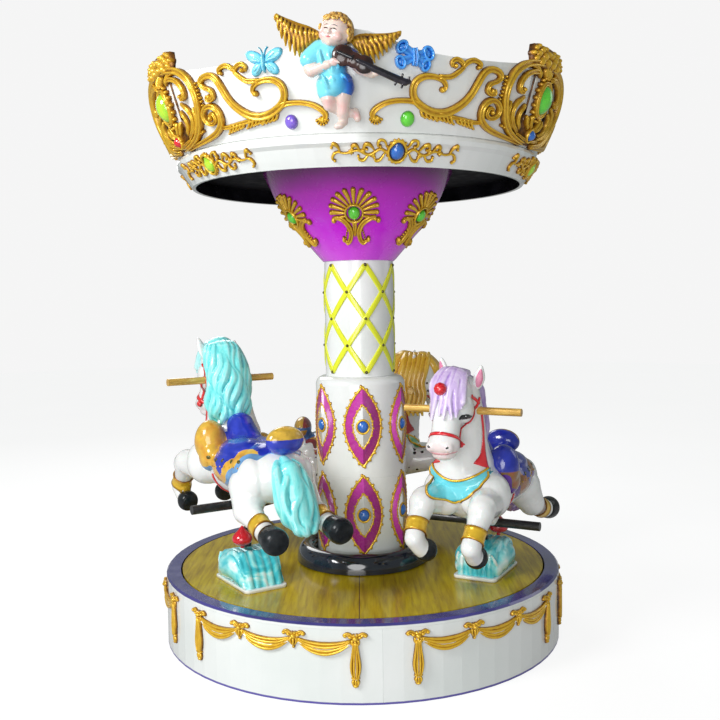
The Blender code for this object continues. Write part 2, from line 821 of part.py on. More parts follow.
def rod_mesh(name, start, end, radius, segments=20):
    bm = bmesh.new()
    start = Vector(start)
    end = Vector(end)
    run = end - start
    turn = run.to_track_quat("Z", "Y").to_matrix().to_4x4()
    bmesh.ops.create_cone(
        bm,
        cap_ends=True,
        segments=segments,
        radius1=radius,
        radius2=radius,
        depth=run.length,
        matrix=Matrix.Translation((start + end) / 2) @ turn,
    )
    return finish_mesh(bm, name)


BAR_CENTRE = Vector((BAR_FORWARD, 0.0, BAR_HEIGHT))
FOOT_BAR_CENTRE = Vector((FOOT_BAR_FORWARD, 0.0, FOOT_BAR_HEIGHT))
POST_TOP = FOOT_BAR_HEIGHT + 0.6 * FOOT_BAR_RADIUS


def cross_rod(name, centre, half, radius, group=CUTTERS):
    """A rod across the horse, from its inner to its outer side."""
    reach = Vector((0.0, half, 0.0))
    return add_object(name, rod_mesh(name, centre - reach, centre + reach, radius), None, group)


def post_rod(name, bottom, top, radius):
    start = (POST_FORWARD, PEDESTAL_SHIFT, bottom)
    end = (POST_FORWARD, PEDESTAL_SHIFT, top)
    return add_object(name, rod_mesh(name, start, end, radius), None, CUTTERS)


def horse_mesh():
    """The melded horse, bored for its hand bar, foot bar and post."""
    bm = bmesh.new()
    horse_form(bm)
    body = melded("horse_skin", bm, 0.0085, 0.045, 4, None, CUTTERS)
    bores = (
        cross_rod("bar_bore", BAR_CENTRE, 0.3, BAR_RADIUS + SEAT_GAP),
        cross_rod("foot_bar_bore", FOOT_BAR_CENTRE, 0.3, FOOT_BAR_RADIUS + SEAT_GAP),
        post_rod("mount_bore", 0.05, POST_TOP + SEAT_GAP, POST_RADIUS + SEAT_GAP),
    )
    for bore in bores:
        boolean(body, bore, "DIFFERENCE", bore.name)
    body.display_type = "WIRE"
    return baked(body, "horse_shape", None, CUTTERS)


HORSE_SHAPE = horse_mesh()


def saddle_shape():
    bm = bmesh.new()
    saddle_form(bm)
    made = melded("saddle_skin", bm, 0.0075, 0.035, 2, None, CUTTERS)
    clear = add_object("horse_clearance", HORSE_SHAPE.data.copy(), None, CUTTERS)
    swell = clear.modifiers.new("clearance", "DISPLACE")
    swell.strength = 0.0006
    swell.mid_level = 0.0
    boolean(made, clear, "DIFFERENCE", "seat_on_back")
    return baked(made, "saddle_shape", None, CUTTERS)


SADDLE_SHAPE = saddle_shape()


def mount_shape():
    """The black steel mount: foot bar and post in one weldment."""
    made = cross_rod("foot_bar", FOOT_BAR_CENTRE, FOOT_BAR_HALF_LENGTH, FOOT_BAR_RADIUS)
    post = post_rod("post", POST_BOTTOM, POST_TOP, POST_RADIUS)
    boolean(made, post, "UNION", "post")
    return baked(made, "mount_shape", None, CUTTERS)


MOUNT_SHAPE = mount_shape()


def pedestal_shape():
    """A wave-shaped block with a flange and a bore for the post."""
    bm = bmesh.new()
    outline = (
        (PEDESTAL_BACK, 0.004),
        (-0.062, PEDESTAL_HEIGHT),
        (0.012, PEDESTAL_HEIGHT),
        (0.088, PEDESTAL_HEIGHT - 0.024),
        (PEDESTAL_FRONT, 0.004),
    )
    inner = PEDESTAL_SHIFT - 0.070
    side = bm.faces.new([bm.verts.new((x, inner, z)) for x, z in outline])
    grown = bmesh.ops.extrude_face_region(bm, geom=[side])
    for item in grown["geom"]:
        if isinstance(item, bmesh.types.BMVert):
            item.co.y += 0.140
    bmesh.ops.recalc_face_normals(bm, faces=list(bm.faces))
    made = add_object("pedestal_block", finish_mesh(bm, "pedestal_block"), None, CUTTERS)
    soft = made.modifiers.new("soft_edges", "BEVEL")
    soft.width = 0.018
    soft.segments = 3
    soft.limit_method = "ANGLE"
    made = baked(made, "pedestal_body", None, CUTTERS)
    low = (PEDESTAL_BACK - 0.006, PEDESTAL_SHIFT - 0.076, SEAT_GAP)
    high = (PEDESTAL_FRONT + 0.006, PEDESTAL_SHIFT + 0.076, 0.012)
    flange = add_object(
        "pedestal_flange", box_mesh("pedestal_flange", low, high), None, CUTTERS
    )
    bore = post_rod("post_bore", -0.1, PEDESTAL_HEIGHT + 0.1, POST_RADIUS + POST_CLEARANCE)
    boolean(made, flange, "UNION", "flange")
    boolean(made, bore, "DIFFERENCE", "post_bore")
    return baked(made, "pedestal_shape", None, CUTTERS)


PEDESTAL_SHAPE = pedestal_shape()
CAP_HEIGHT = 0.074
CAP_PROFILE = [
    (0.0, CAP_HEIGHT),
    (0.004, CAP_HEIGHT - 0.003),
    (0.010, 0.057),
    (0.017, 0.043),
    (0.026, 0.032),
    (0.028, 0.024),
    (0.023, 0.014),
    (0.009, 0.010),
    (0.008, 0.0),
    (0.0, 0.0),
]


def deck_bore(number, frame):
    bore = post_rod(f"deck_bore_{number + 1}", -0.1, 0.1, POST_RADIUS + DECK_BORE_CLEARANCE)
    bore.matrix_world = frame
    boolean(deck, bore, "DIFFERENCE", f"post_bore_{number + 1}")


for number, (azimuth, lift) in enumerate(zip(HORSE_AZIMUTHS, HORSE_LIFTS)):
    still = horse_frame(azimuth, 0.0)
    raised = horse_frame(azimuth, lift)
    rider = bpy.data.objects.new(f"horse_slide_{number + 1}", None)
    PARTS.objects.link(rider)
    rider.matrix_world = raised
    label = number + 1
    pieces = (
        (f"horse_{label}", HORSE_SHAPE.data, HORSE_WHITE),
        (f"saddle_{label}", SADDLE_SHAPE.data, SADDLE_BLUE),
        (f"horse_mount_{label}", MOUNT_SHAPE.data, STEEL),
    )
    for name, mesh, paint in pieces:
        made = add_object(name, mesh.copy(), paint)
        made.parent = rider
    rod = cross_rod(f"handle_bar_{label}", BAR_CENTRE, BAR_HALF_LENGTH, BAR_RADIUS, PARTS)
    rod.data.materials.append(BAR_GOLD)
    rod.parent = rider
    made = add_object(f"wave_pedestal_{label}", PEDESTAL_SHAPE.data.copy(), WAVE)
    made.matrix_world = still
    cap = turned(f"red_cap_{label}", CAP_PROFILE, RED, 16)
    lift_off = Matrix.Translation((CAP_FORWARD, CAP_SIDE, PEDESTAL_HEIGHT + SEAT_GAP))
    cap.matrix_world = still @ lift_off
    deck_bore(number, still)
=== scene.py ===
import math

import bmesh
import bpy
import numpy as np
from mathutils import Matrix, Vector
from mathutils.bvhtree import BVHTree
from mathutils.kdtree import KDTree


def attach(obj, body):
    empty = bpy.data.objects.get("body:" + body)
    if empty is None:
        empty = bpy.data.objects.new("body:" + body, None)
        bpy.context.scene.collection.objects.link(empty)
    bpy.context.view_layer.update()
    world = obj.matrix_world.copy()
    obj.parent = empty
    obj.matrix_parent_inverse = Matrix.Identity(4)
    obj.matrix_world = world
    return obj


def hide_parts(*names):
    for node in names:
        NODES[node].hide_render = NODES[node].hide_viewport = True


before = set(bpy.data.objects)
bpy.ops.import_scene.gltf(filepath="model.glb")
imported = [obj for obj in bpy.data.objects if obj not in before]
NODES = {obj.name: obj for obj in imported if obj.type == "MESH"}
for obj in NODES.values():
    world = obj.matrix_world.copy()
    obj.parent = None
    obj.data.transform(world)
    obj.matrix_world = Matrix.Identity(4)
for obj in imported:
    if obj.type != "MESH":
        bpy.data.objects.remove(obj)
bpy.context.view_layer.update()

# Places shared with the part's source, in metres and degrees
BASE_RADIUS = 0.700
DECK_TOP = 0.240
LOWER_COLUMN_RADIUS = 0.160
UPPER_COLUMN_RADIUS = 0.123
CROWN_REACH = 0.690
CROWN_PHASE = -2.0
CHERUB_PHASE = 0.0
HORSE_RADIUS = 0.460
HORSE_AZIMUTHS = (215.0, 335.0, 90.0)
HORSE_YAW = 2.5
HORSE_LIFTS = (0.0855, 0.0, 0.0)
PEDESTAL_HEIGHT = 0.125
PEDESTAL_BACK = -0.128
PEDESTAL_FRONT = 0.108
PEDESTAL_SHIFT = 0.004
SIDES = (-1.0, 1.0)
CAPITAL_CURVE = (
    (1.3133, 0.127), (1.358, 0.166), (1.400, 0.200), (1.430, 0.225),
    (1.475, 0.258), (1.528, 0.290), (1.574, 0.312), (1.620, 0.335),
)
BAND_CURVE = (
    (1.566, 0.579), (1.572, 0.583), (1.588, 0.594), (1.618, 0.613),
    (1.628, 0.626), (1.641, 0.629), (1.651, 0.626), (1.656, 0.619),
)


class Shader:
    """One material's node tree, with short calls for the nodes used here."""

    def __init__(self, name, rough=0.3, metallic=0.0, coat=0.0, coat_rough=0.05, sub=0.0):
        self.material = bpy.data.materials.new(name)
        self.material.use_nodes = True
        self.tree = self.material.node_tree
        self.skin = self.tree.nodes["Principled BSDF"]
        self.place = self.tree.nodes.new("ShaderNodeTexCoord").outputs["Object"]
        self.feed("Roughness", rough)
        self.feed("Metallic", metallic)
        self.feed("Coat Weight", coat)
        self.feed("Coat Roughness", coat_rough)
        self.feed("Subsurface Weight", sub)

    def put(self, socket, value):
        """Links the socket to another, or gives it a constant."""
        if isinstance(value, bpy.types.NodeSocket):
            self.tree.links.new(value, socket)
        elif socket.type == "RGBA":
            socket.default_value = (*value, 1.0)
        else:
            socket.default_value = value

    def feed(self, name, value):
        self.put(self.skin.inputs[name], value)

    def node(self, kind, **inputs):
        made = self.tree.nodes.new(kind)
        for key, value in inputs.items():
            self.put(made.inputs[key.replace("_", " ")], value)
        return made

    def mapped(self, scale, turn=(0.0, 0.0, 0.0), place=None):
        made = self.node("ShaderNodeMapping", Vector=place or self.place, Scale=scale, Rotation=turn)
        return made.outputs["Vector"]

    def noise(self, scale, detail=3.0, place=None, rough=0.5, twist=0.0):
        made = self.node("ShaderNodeTexNoise", Vector=place or self.place, Scale=scale, Detail=detail)
        self.put(made.inputs["Roughness"], rough)
        self.put(made.inputs["Distortion"], twist)
        return made.outputs["Fac"]

    def cells(self, scale):
        return self.node("ShaderNodeTexVoronoi", Vector=self.place, Scale=scale).outputs["Distance"]

    def field(self, name):
        made = self.node("ShaderNodeAttribute")
        made.attribute_name = name
        return made.outputs["Fac"]

    def axis(self, name):
        return self.node("ShaderNodeSeparateXYZ", Vector=self.place).outputs[name]

    def math(self, kind, *values):
        made = self.node("ShaderNodeMath")
        made.operation = kind
        for socket, value in zip(made.inputs, values):
            self.put(socket, value)
        return made.outputs[0]

    def span(self, value, low, high, to_low=0.0, to_high=1.0):
        made = self.node(
            "ShaderNodeMapRange", Value=value, From_Min=low, From_Max=high, To_Min=to_low, To_Max=to_high,
        )
        return made.outputs[0]

    def ramp(self, value, stops):
        made = self.node("ShaderNodeValToRGB", Fac=value)
        points = made.color_ramp.elements
        while len(points) < len(stops):
            points.new(0.5)
        for point, (at, colour) in zip(points, stops):
            point.position = at
            point.color = (*colour, 1.0)
        return made.outputs["Color"]

    def mix(self, share, a, b):
        made = self.node("ShaderNodeMix")
        made.data_type = "RGBA"
        for index, value in ((0, share), (6, a), (7, b)):
            self.put(made.inputs[index], value)
        return made.outputs[2]

    def tone(self, scale, detail, dark, light, low=0.35, high=0.65):
        """Soft patches between two colours."""
        return self.ramp(self.noise(scale, detail), [(low, dark), (high, light)])

    def stirred(self, base, share, noise):
        """The base value, moved up and down by the noise."""
        return self.math("MULTIPLY_ADD", self.math("SUBTRACT", noise, 0.5), share, base)

    def glossed(self, source, low, high, first=0.3, last=0.7):
        """Roughness that follows the source."""
        self.feed("Roughness", self.span(source, first, last, low, high))

    def bump(self, height, strength, reach):
        made = self.node("ShaderNodeBump", Height=height, Strength=strength, Distance=reach)
        self.feed("Normal", made.outputs["Normal"])

    def finished(self, colour, gloss, bump):
        """The material, with gloss as (scale, low, high, detail) and bump as (scale, detail, strength, reach)."""
        scale, low, high, *detail = gloss
        self.feed("Base Color", colour)
        self.glossed(self.noise(scale, *detail), low, high)
        self.bump(self.noise(*bump[:2]), *bump[2:])
        return self.material


def gloss(name, colours, rough=0.2, coat=0.6, scale=5.0, bump=0.12):
    """Brushed-on gloss paint: soft patches of tone, faint orange peel, uneven gloss."""
    made = Shader(name, rough, 0.0, coat, 0.06)
    patch = made.tone(scale, 4.0, *colours, 0.36, 0.64)
    return made.finished(patch, (scale * 5.0, rough * 0.8, rough * 1.35), (150.0, 2.0, bump, 0.0006))


def relief_shaded(name, stops, rough=0.3, metallic=0.35, coat=0.3, grain=70.0, bump=0.25):
    """Paint over relief, dark where a dark wash settles in the hollows and bright where it is rubbed off the ridges;
    the dark in the hollows is also painted shade, and the bright ridges a painted highlight.
    """
    made = Shader(name, rough, metallic, coat, 0.12)
    # The field read here is low at the foot of the relief and high on top: painted shade in the hollows, a painted
    # highlight on the ridges.
    level = made.stirred(made.field("relief_shading"), 0.75, made.noise(grain, 4.0))
    made.feed("Base Color", made.ramp(level, stops))
    made.glossed(level, rough * 1.5, rough * 0.75, 0.1, 0.9)
    made.bump(made.noise(grain * 3.0), bump, 0.0006)
    return made.material


def jewel(name, dark, bright):
    """A cast resin stone: deep colour at its rim as painted shade, bright at its heart as a painted highlight."""
    made = Shader(name, 0.08, 0.0, 1.0, 0.03, 0.15)
    # Brighter towards the top of the dome: a painted highlight over painted shade at the rim.
    swirl = made.stirred(made.field("relief_shading"), 0.5, made.noise(40.0))
    made.feed("Base Color", made.ramp(swirl, [(0.05, dark), (0.75, bright)]))
    made.bump(made.noise(90.0, 2.0), 0.1, 0.0006)
    return made.material


WHITE = gloss("white_gelcoat_paint", ((0.80, 0.83, 0.81), (0.88, 0.89, 0.88)), 0.16, 0.7, 3.0, 0.08)
# The stops of each relief paint below run from painted shade in the hollows to a painted highlight on the ridges.
GOLD = relief_shaded(
    "antique_gold_paint",
    [
        (0.0, (0.040, 0.013, 0.002)), (0.22, (0.22, 0.080, 0.006)), (0.55, (0.54, 0.270, 0.012)),
        (1.0, (0.88, 0.55, 0.040)),
    ],
    0.32, 0.35, 0.15,
)
YELLOW = relief_shaded(
    "lattice_yellow_paint",
    [(0.0, (0.35, 0.34, 0.02)), (0.30, (0.62, 0.66, 0.02)), (0.75, (0.80, 0.84, 0.03))],
    0.28, 0.0, 0.5, 60.0, 0.12,
)
MAGENTA_BAND = relief_shaded(
    "magenta_band_paint",
    [(0.0, (0.20, 0.01, 0.10)), (0.35, (0.52, 0.03, 0.34)), (1.0, (0.74, 0.10, 0.56))],
    0.25, 0.0, 0.6, 55.0, 0.15,
)
STUD = relief_shaded("dark_stud_paint", [(0.0, (0.02, 0.02, 0.004)), (1.0, (0.12, 0.11, 0.02))], 0.35, 0.3, 0.3)
SKY = relief_shaded(
    "sky_blue_relief_paint",
    [(0.0, (0.02, 0.26, 0.45)), (0.4, (0.10, 0.56, 0.80)), (1.0, (0.30, 0.76, 0.92))],
    0.22, 0.0, 0.7, 60.0, 0.12,
)
ROYAL = relief_shaded(
    "royal_blue_relief_paint",
    [(0.0, (0.005, 0.05, 0.30)), (0.4, (0.02, 0.20, 0.72)), (1.0, (0.07, 0.36, 0.90))],
    0.2, 0.0, 0.7, 60.0, 0.12,
)
GEMS = {
    "blue": jewel("blue_stone", (0.006, 0.03, 0.16), (0.03, 0.17, 0.62)),
    "green": jewel("green_stone", (0.02, 0.22, 0.01), (0.14, 0.75, 0.05)),
    "lime": jewel("lime_stone", (0.10, 0.40, 0.01), (0.50, 0.85, 0.04)),
    "purple": jewel("purple_stone", (0.06, 0.03, 0.30), (0.24, 0.14, 0.72)),
    "red": jewel("red_stone", (0.18, 0.003, 0.01), (0.72, 0.02, 0.03)),
}


# Flat ornament, wrapped on a turned wall
def spline(points, count):
    """Points spread along a smooth curve through the given ones."""
    given = np.array(points, float)
    padded = np.vstack((2 * given[0] - given[1], given, 2 * given[-1] - given[-2]))
    out = []
    for at in np.linspace(0.0, len(given) - 1.0, count):
        step = min(int(at), len(given) - 2)
        t = at - step
        a, b, c, d = padded[step:step + 4]
        out.append(
            0.5 * (2 * b + (c - a) * t + (2 * a - 5 * b + 4 * c - d) * t * t + (3 * b - a - 3 * c + d) * t ** 3)
        )
    return np.array(out)


def spaced(values, count):
    """The given values, spread evenly over count places."""
    return np.interp(np.linspace(0, 1, count), np.linspace(0, 1, len(values)), values)


def ellipse(x, y, wide, tall, count, turn=0.0):
    c, s = math.cos(math.radians(turn)), math.sin(math.radians(turn))
    points = []
    for i in range(count):
        t = 2 * math.pi * i / count
        p, q = wide * math.cos(t), tall * math.sin(t)
        points.append((x + p * c - q * s, y + p * s + q * c))
    return points


def bridge(rows, add):
    """Adds the faces between neighbouring closed rings of corners."""
    for low, high in zip(rows, rows[1:]):
        for j in range(len(low)):
            k = (j + 1) % len(low)
            add((low[j], low[k], high[k], high[j]))


def cap(rings, add):
    """Adds a face on the first and on the last ring."""
    add(rings[0][::-1])
    add(rings[-1])


# Cross sections of a raised band: share of its half width, share of its height
ROUND = ((-1.0, 0.0), (-0.86, 0.55), (-0.5, 0.9), (0.0, 1.0), (0.5, 0.9), (0.86, 0.55), (1.0, 0.0))
FLUTED = (
    (-1.0, 0.0), (-0.93, 0.65), (-0.66, 1.0), (-0.34, 0.86), (0.0, 0.52),
    (0.34, 0.86), (0.66, 1.0), (0.93, 0.65), (1.0, 0.0),
)
FLAT_BAND = ((-1.0, 0.0), (-0.9, 0.75), (-0.6, 1.0), (0.6, 1.0), (0.9, 0.75), (1.0, 0.0))
SINK = 0.0015  # how far an ornament's foot goes into its wall


class Relief:
    """Ornament drawn flat: x across, y up the wall, z off the wall."""

    def __init__(self, bm=None):
        self.bm = bmesh.new() if bm is None else bm
        # Every point carries a shading field, 0 at the wall and 1 at the top of the relief; the relief paints turn it
        # into painted shade low down and a painted highlight high up.
        self.relief_shading = self.bm.verts.layers.float.get("relief_shading") or self.bm.verts.layers.float.new("relief_shading")
        self.slot = 0

    def vertex(self, x, y, z, relief_shading):
        made = self.bm.verts.new((x, y, z))
        made[self.relief_shading] = relief_shading
        return made

    def face(self, corners):
        made = self.bm.faces.new(corners)
        made.material_index = self.slot
        made.smooth = True

    def strip(self, points, widths, height, shape=ROUND, steps=None, lift=0.0, tips=1.0):
        """A raised band along a path. Widths are spread along it, tips scale its ends' height."""
        steps = steps or max(4, 4 * (len(points) - 1))
        path = spline(points, steps + 1)
        along = np.gradient(path, axis=0)
        along /= np.maximum(np.linalg.norm(along, axis=1), 1e-9)[:, None]
        rows = []
        for i, (point, run, width) in enumerate(zip(path, along, spaced(widths, steps + 1))):
            t = i / steps
            rise = height * (tips + (1.0 - tips) * min(1.0, 6.0 * min(t, 1.0 - t)))
            row = []
            for off, up in shape:
                x = point[0] - run[1] * off * width / 2
                y = point[1] + run[0] * off * width / 2
                row.append(self.vertex(x, y, lift + up * rise - (SINK if up == 0.0 else 0.0), up))
            rows.append(row)
        for a, b in zip(rows, rows[1:]):
            for j in range(len(shape) - 1):
                self.face((a[j], b[j], b[j + 1], a[j + 1]))
        self.face(rows[0])
        self.face(rows[-1][::-1])

    def dome(self, x, y, wide, tall, height, turn=0.0, sides=14, rings=5):
        """A rounded boss."""
        rows = []
        for ring in range(rings):
            angle = math.pi / 2 * ring / rings
            size, up = math.cos(angle), math.sin(angle)
            z = up * height - (0.0 if ring else SINK)
            rows.append([self.vertex(*at, z, up) for at in ellipse(x, y, wide * size, tall * size, sides, turn)])
        top = self.vertex(x, y, height, 1.0)
        bridge(rows, self.face)
        for j in range(sides):
            self.face((rows[-1][j], rows[-1][(j + 1) % sides], top))

    def ring(self, x, y, wide, tall, width, height, shape=ROUND, count=28, turn=0.0):
        points = ellipse(x, y, wide, tall, count, turn)
        self.strip(points + points[:1], [width], height, shape, count)

    def plate(self, outline, height, relief_shading=0.15, columns=14):
        """A thin slab with the given outline, cut in columns so that it can bend round the wall."""
        flat = bmesh.new()
        flat.faces.new([flat.verts.new((x, y, height)) for x, y in outline])
        low = min(x for x, _ in outline)
        high = max(x for x, _ in outline)
        for cut in np.linspace(low, high, columns + 1)[1:-1]:
            geom = list(flat.faces) + list(flat.edges) + list(flat.verts)
            bmesh.ops.bisect_plane(flat, geom=geom, plane_co=(cut, 0, 0), plane_no=(1, 0, 0), dist=1e-6)
        made = {v: self.vertex(*v.co, relief_shading) for v in flat.verts}
        foot = {v: self.vertex(v.co.x, v.co.y, -SINK, 0.0) for v in flat.verts if v.is_boundary}
        for face in flat.faces:
            self.face([made[v] for v in face.verts])
        for edge in flat.edges:
            if edge.is_boundary:
                a, b = edge.verts
                self.face((made[a], foot[a], foot[b], made[b]))
        flat.free()

    def mirrored(self):
        """Adds the mirror image in x."""
        grown = bmesh.ops.duplicate(self.bm, geom=list(self.bm.verts) + list(self.bm.edges) + list(self.bm.faces))
        faces = [item for item in grown["geom"] if isinstance(item, bmesh.types.BMFace)]
        for item in grown["geom"]:
            if isinstance(item, bmesh.types.BMVert):
                item.co.x = -item.co.x
        bmesh.ops.reverse_faces(self.bm, faces=faces)

    def copy(self):
        return Relief(self.bm.copy())


def polar(radius, angle, z):
    angle = math.radians(angle)
    return Vector((radius * math.sin(angle), -radius * math.cos(angle), z))


def curve_radius(curve):
    heights, radii = zip(*curve)
    return lambda z: float(np.interp(z, heights, radii))


def straight(radius):
    return lambda z: radius


def crown_radius(z):
    rise = min(1.0, max(0.0, (z - 1.6563) / 0.235))
    return 0.622 + 0.076 * math.sin(math.radians(90.0 * rise)) ** 1.15


def wrapped(relief, radius_at, reference, angle):
    """A copy of the flat ornament, laid on a turned wall with its x = 0 at the given angle."""
    bm = relief.bm.copy()
    for vertex in bm.verts:
        x, y, z = vertex.co
        slope = (radius_at(y + 0.004) - radius_at(y - 0.004)) / 0.008
        long = math.hypot(1.0, slope)
        turn = angle + math.degrees(x / reference)
        vertex.co = polar(radius_at(y) + z / long, turn, y - z * slope / long)
    return bm


def on_crown(relief, angle):
    return wrapped(relief, crown_radius, CROWN_REACH, angle)


def axes(x, y, z=(0.0, 0.0, 1.0), at=(0.0, 0.0, 0.0)):
    """The matrix with these axes and this origin."""
    place = Matrix.Identity(4)
    for row in range(3):
        place[row][0], place[row][1], place[row][2], place[row][3] = x[row], y[row], z[row], at[row]
    return place


def add_object(name, data):
    made = bpy.data.objects.new(name, data)
    bpy.context.scene.collection.objects.link(made)
    return made


def mesh_of(name, bm):
    mesh = bpy.data.meshes.new(name)
    bm.to_mesh(mesh)
    bm.free()
    return mesh


def smooth_mesh(name, bm):
    bmesh.ops.recalc_face_normals(bm, faces=list(bm.faces))
    mesh = mesh_of(name, bm)
    mesh.shade_smooth()
    return mesh


def piece(name, bm, materials, body, replaces=(), matrix=None):
    """A finished piece of the scene, riding on its body."""
    return mesh_piece(name, smooth_mesh(name, bm), materials, body, replaces, matrix)


def mesh_piece(name, mesh, materials, body, replaces=(), matrix=None):
    made = add_object(name, mesh)
    if not mesh.materials:
        for _ in materials:
            mesh.materials.append(None)
    for spot, paint in zip(made.material_slots, materials):
        spot.link = "OBJECT"
        spot.material = paint
    if matrix is not None:
        made.matrix_world = matrix
    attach(made, body)
    if replaces:
        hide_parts(*replaces)
    return made


def joined(parts):
    """One bmesh of several."""
    whole = bmesh.new()
    for part in parts:
        mesh = mesh_of("part", part)
        whole.from_mesh(mesh)
        bpy.data.meshes.remove(mesh)
    return whole


# Camera, light and floor, fitted to the photo
CAMERA_TILT = 0.0643
CAMERA_ROLL = -0.0133
CAMERA_PLACE = (0.0, -3.3049, 1.1734)
CAMERA_LENS = 46.03
LIGHTS = (  # name, place, height of the point it faces, size, watts
    ("key_left", (-3.2, -2.8, 3.2), 1.0, 1.8, 150.0), ("fill_front", (-0.9, -4.8, 1.3), 1.1, 2.6, 92.0),
    ("back_rim", (-1.5, 3.4, 3.2), 1.2, 2.4, 50.0), ("right_rim", (3.6, 1.0, 2.4), 1.0, 2.0, 10.0),
)
SKY_LIGHT = ((0.88, 0.96, 0.93, 1.0), 0.26)
BACKDROP = ((0.915, 0.915, 0.915, 1.0), 1.0)
FLOOR_GLOW = (0.56, 0.28)  # to the camera alone, and to every ray


def set_camera():
    up = Vector((0.0, math.sin(CAMERA_TILT), math.cos(CAMERA_TILT)))
    back = Vector((0.0, -math.cos(CAMERA_TILT), math.sin(CAMERA_TILT)))
    side = Vector((math.cos(CAMERA_ROLL), 0.0, 0.0)) + math.sin(CAMERA_ROLL) * up
    top = Vector((-math.sin(CAMERA_ROLL), 0.0, 0.0)) + math.cos(CAMERA_ROLL) * up
    lens = bpy.data.cameras.new("photo_camera")
    lens.sensor_width = 36.0
    lens.lens = CAMERA_LENS
    lens.clip_end = 60.0
    camera = add_object("photo_camera", lens)
    camera.matrix_world = axes(side, top, back, CAMERA_PLACE)
    bpy.context.scene.camera = camera


def set_studio():
    for name, place, height, size, power in LIGHTS:
        lamp = bpy.data.lights.new(name, "AREA")
        lamp.shape = "DISK"
        lamp.size = size
        lamp.energy = power
        made = add_object(name, lamp)
        made.location = place
        made.rotation_euler = (Vector((0.0, 0.0, height)) - Vector(place)).to_track_quat("-Z", "Y").to_euler()
    world = bpy.data.worlds.new("studio")
    world.use_nodes = True
    tree = world.node_tree
    path = tree.nodes.new("ShaderNodeLightPath")
    either = tree.nodes.new("ShaderNodeMixShader")
    tree.links.new(path.outputs["Is Camera Ray"], either.inputs[0])
    skies = (tree.nodes["Background"], tree.nodes.new("ShaderNodeBackground"))
    for spot, (sky, (colour, strength)) in enumerate(zip(skies, (SKY_LIGHT, BACKDROP)), 1):
        sky.inputs["Color"].default_value = colour
        sky.inputs["Strength"].default_value = strength
        tree.links.new(sky.outputs[0], either.inputs[spot])
    tree.links.new(either.outputs[0], tree.nodes["World Output"].inputs["Surface"])
    bpy.context.scene.world = world


def set_floor():
    bm = bmesh.new()
    bmesh.ops.create_circle(bm, cap_ends=True, segments=96, radius=14.0)
    floor = add_object("studio_floor", mesh_of("studio_floor", bm))
    floor.location.z = -0.0005
    made = Shader("pale_floor", 0.85)
    made.feed("Base Color", made.tone(1.2, 3.0, (0.20, 0.20, 0.20), (0.22, 0.22, 0.22), 0.3, 0.7))
    made.feed("Emission Color", (1.0, 1.0, 1.0))
    seen = made.node("ShaderNodeLightPath").outputs["Is Camera Ray"]
    made.feed("Emission Strength", made.math("MULTIPLY_ADD", seen, *FLOOR_GLOW))
    floor.data.materials.append(made.material)


# Paints of the CAD nodes, and of the turned shells
BLACK_TONES = ((0.006, 0.006, 0.008), (0.016, 0.016, 0.020))


def skirt_paint():
    """White, with a violet line at its foot."""
    made = Shader("skirt_white", 0.14, 0.0, 0.8, 0.04)
    tone = made.tone(2.5, 4.0, (0.76, 0.80, 0.78), (0.85, 0.87, 0.86))
    colour = made.mix(made.span(made.axis("Z"), 0.0055, 0.0075), (0.10, 0.08, 0.36), tone)
    return made.finished(colour, (18.0, 0.10, 0.20), (4.0, 1.0, 0.10, 0.002))


def rim_paint():
    """Violet on top, white below."""
    made = Shader("rim_violet", 0.16, 0.0, 0.8, 0.05)
    tone = made.tone(3.0, 3.0, (0.035, 0.030, 0.17), (0.065, 0.055, 0.27))
    high = made.span(made.axis("Z"), DECK_TOP - 0.0080, DECK_TOP - 0.0060)
    return made.finished(made.mix(high, (0.82, 0.85, 0.83), tone), (25.0, 0.12, 0.26), (120.0, 2.0, 0.1, 0.0005))


def deck_paint():
    """Varnished wood-grain board, its grain running in chevrons from a seam."""
    made = Shader("deck_wood_grain", 0.40, 0.0, 0.10, 0.10)
    made.feed("Specular IOR Level", 0.22)
    near = made.math("ABSOLUTE", made.math("ADD", made.axis("X"), 0.012))
    slant = made.node("ShaderNodeCombineXYZ", X=near, Y=made.axis("Y")).outputs[0]
    lean = (0.0, 0.0, math.radians(-38.0))
    fine = made.noise(1.0, 5.0, made.mapped((70.0, 5.5, 1.0), lean, slant), 0.6, 0.4)
    coarse = made.noise(1.0, 3.0, made.mapped((16.0, 1.6, 1.0), lean, slant), 0.5, 0.8)
    level = made.math("MULTIPLY_ADD", fine, 0.62, made.math("MULTIPLY", coarse, 0.38))
    tone = made.ramp(level, [
        (0.34, (0.26, 0.165, 0.002)), (0.46, (0.42, 0.290, 0.003)), (0.56, (0.53, 0.390, 0.005)),
        (0.68, (0.66, 0.510, 0.012)),
    ])
    made.feed("Base Color", made.mix(made.span(near, 0.0008, 0.0022), (0.10, 0.06, 0.01), tone))
    made.glossed(made.noise(7.0, 4.0), 0.12, 0.26)
    made.bump(fine, 0.12, 0.0008)
    return made.material


def column_paint():
    """White, with a faint grey line of painted shade round the joint between the two columns."""
    made = Shader("column_white", 0.32, 0.0, 0.25, 0.25)
    tone = made.tone(4.0, 4.0, (0.78, 0.81, 0.78), (0.87, 0.88, 0.87))
    # Painted shade: a faint grey band on the lower column's top, where the upper column stands.
    edge = made.span(made.math("ABSOLUTE", made.math("SUBTRACT", made.axis("Z"), 0.906)), 0.0, 0.004, 0.86, 1.0)
    return made.finished(made.mix(edge, (0.30, 0.30, 0.30), tone), (20.0, 0.12, 0.24), (5.0, 1.0, 0.12, 0.002))


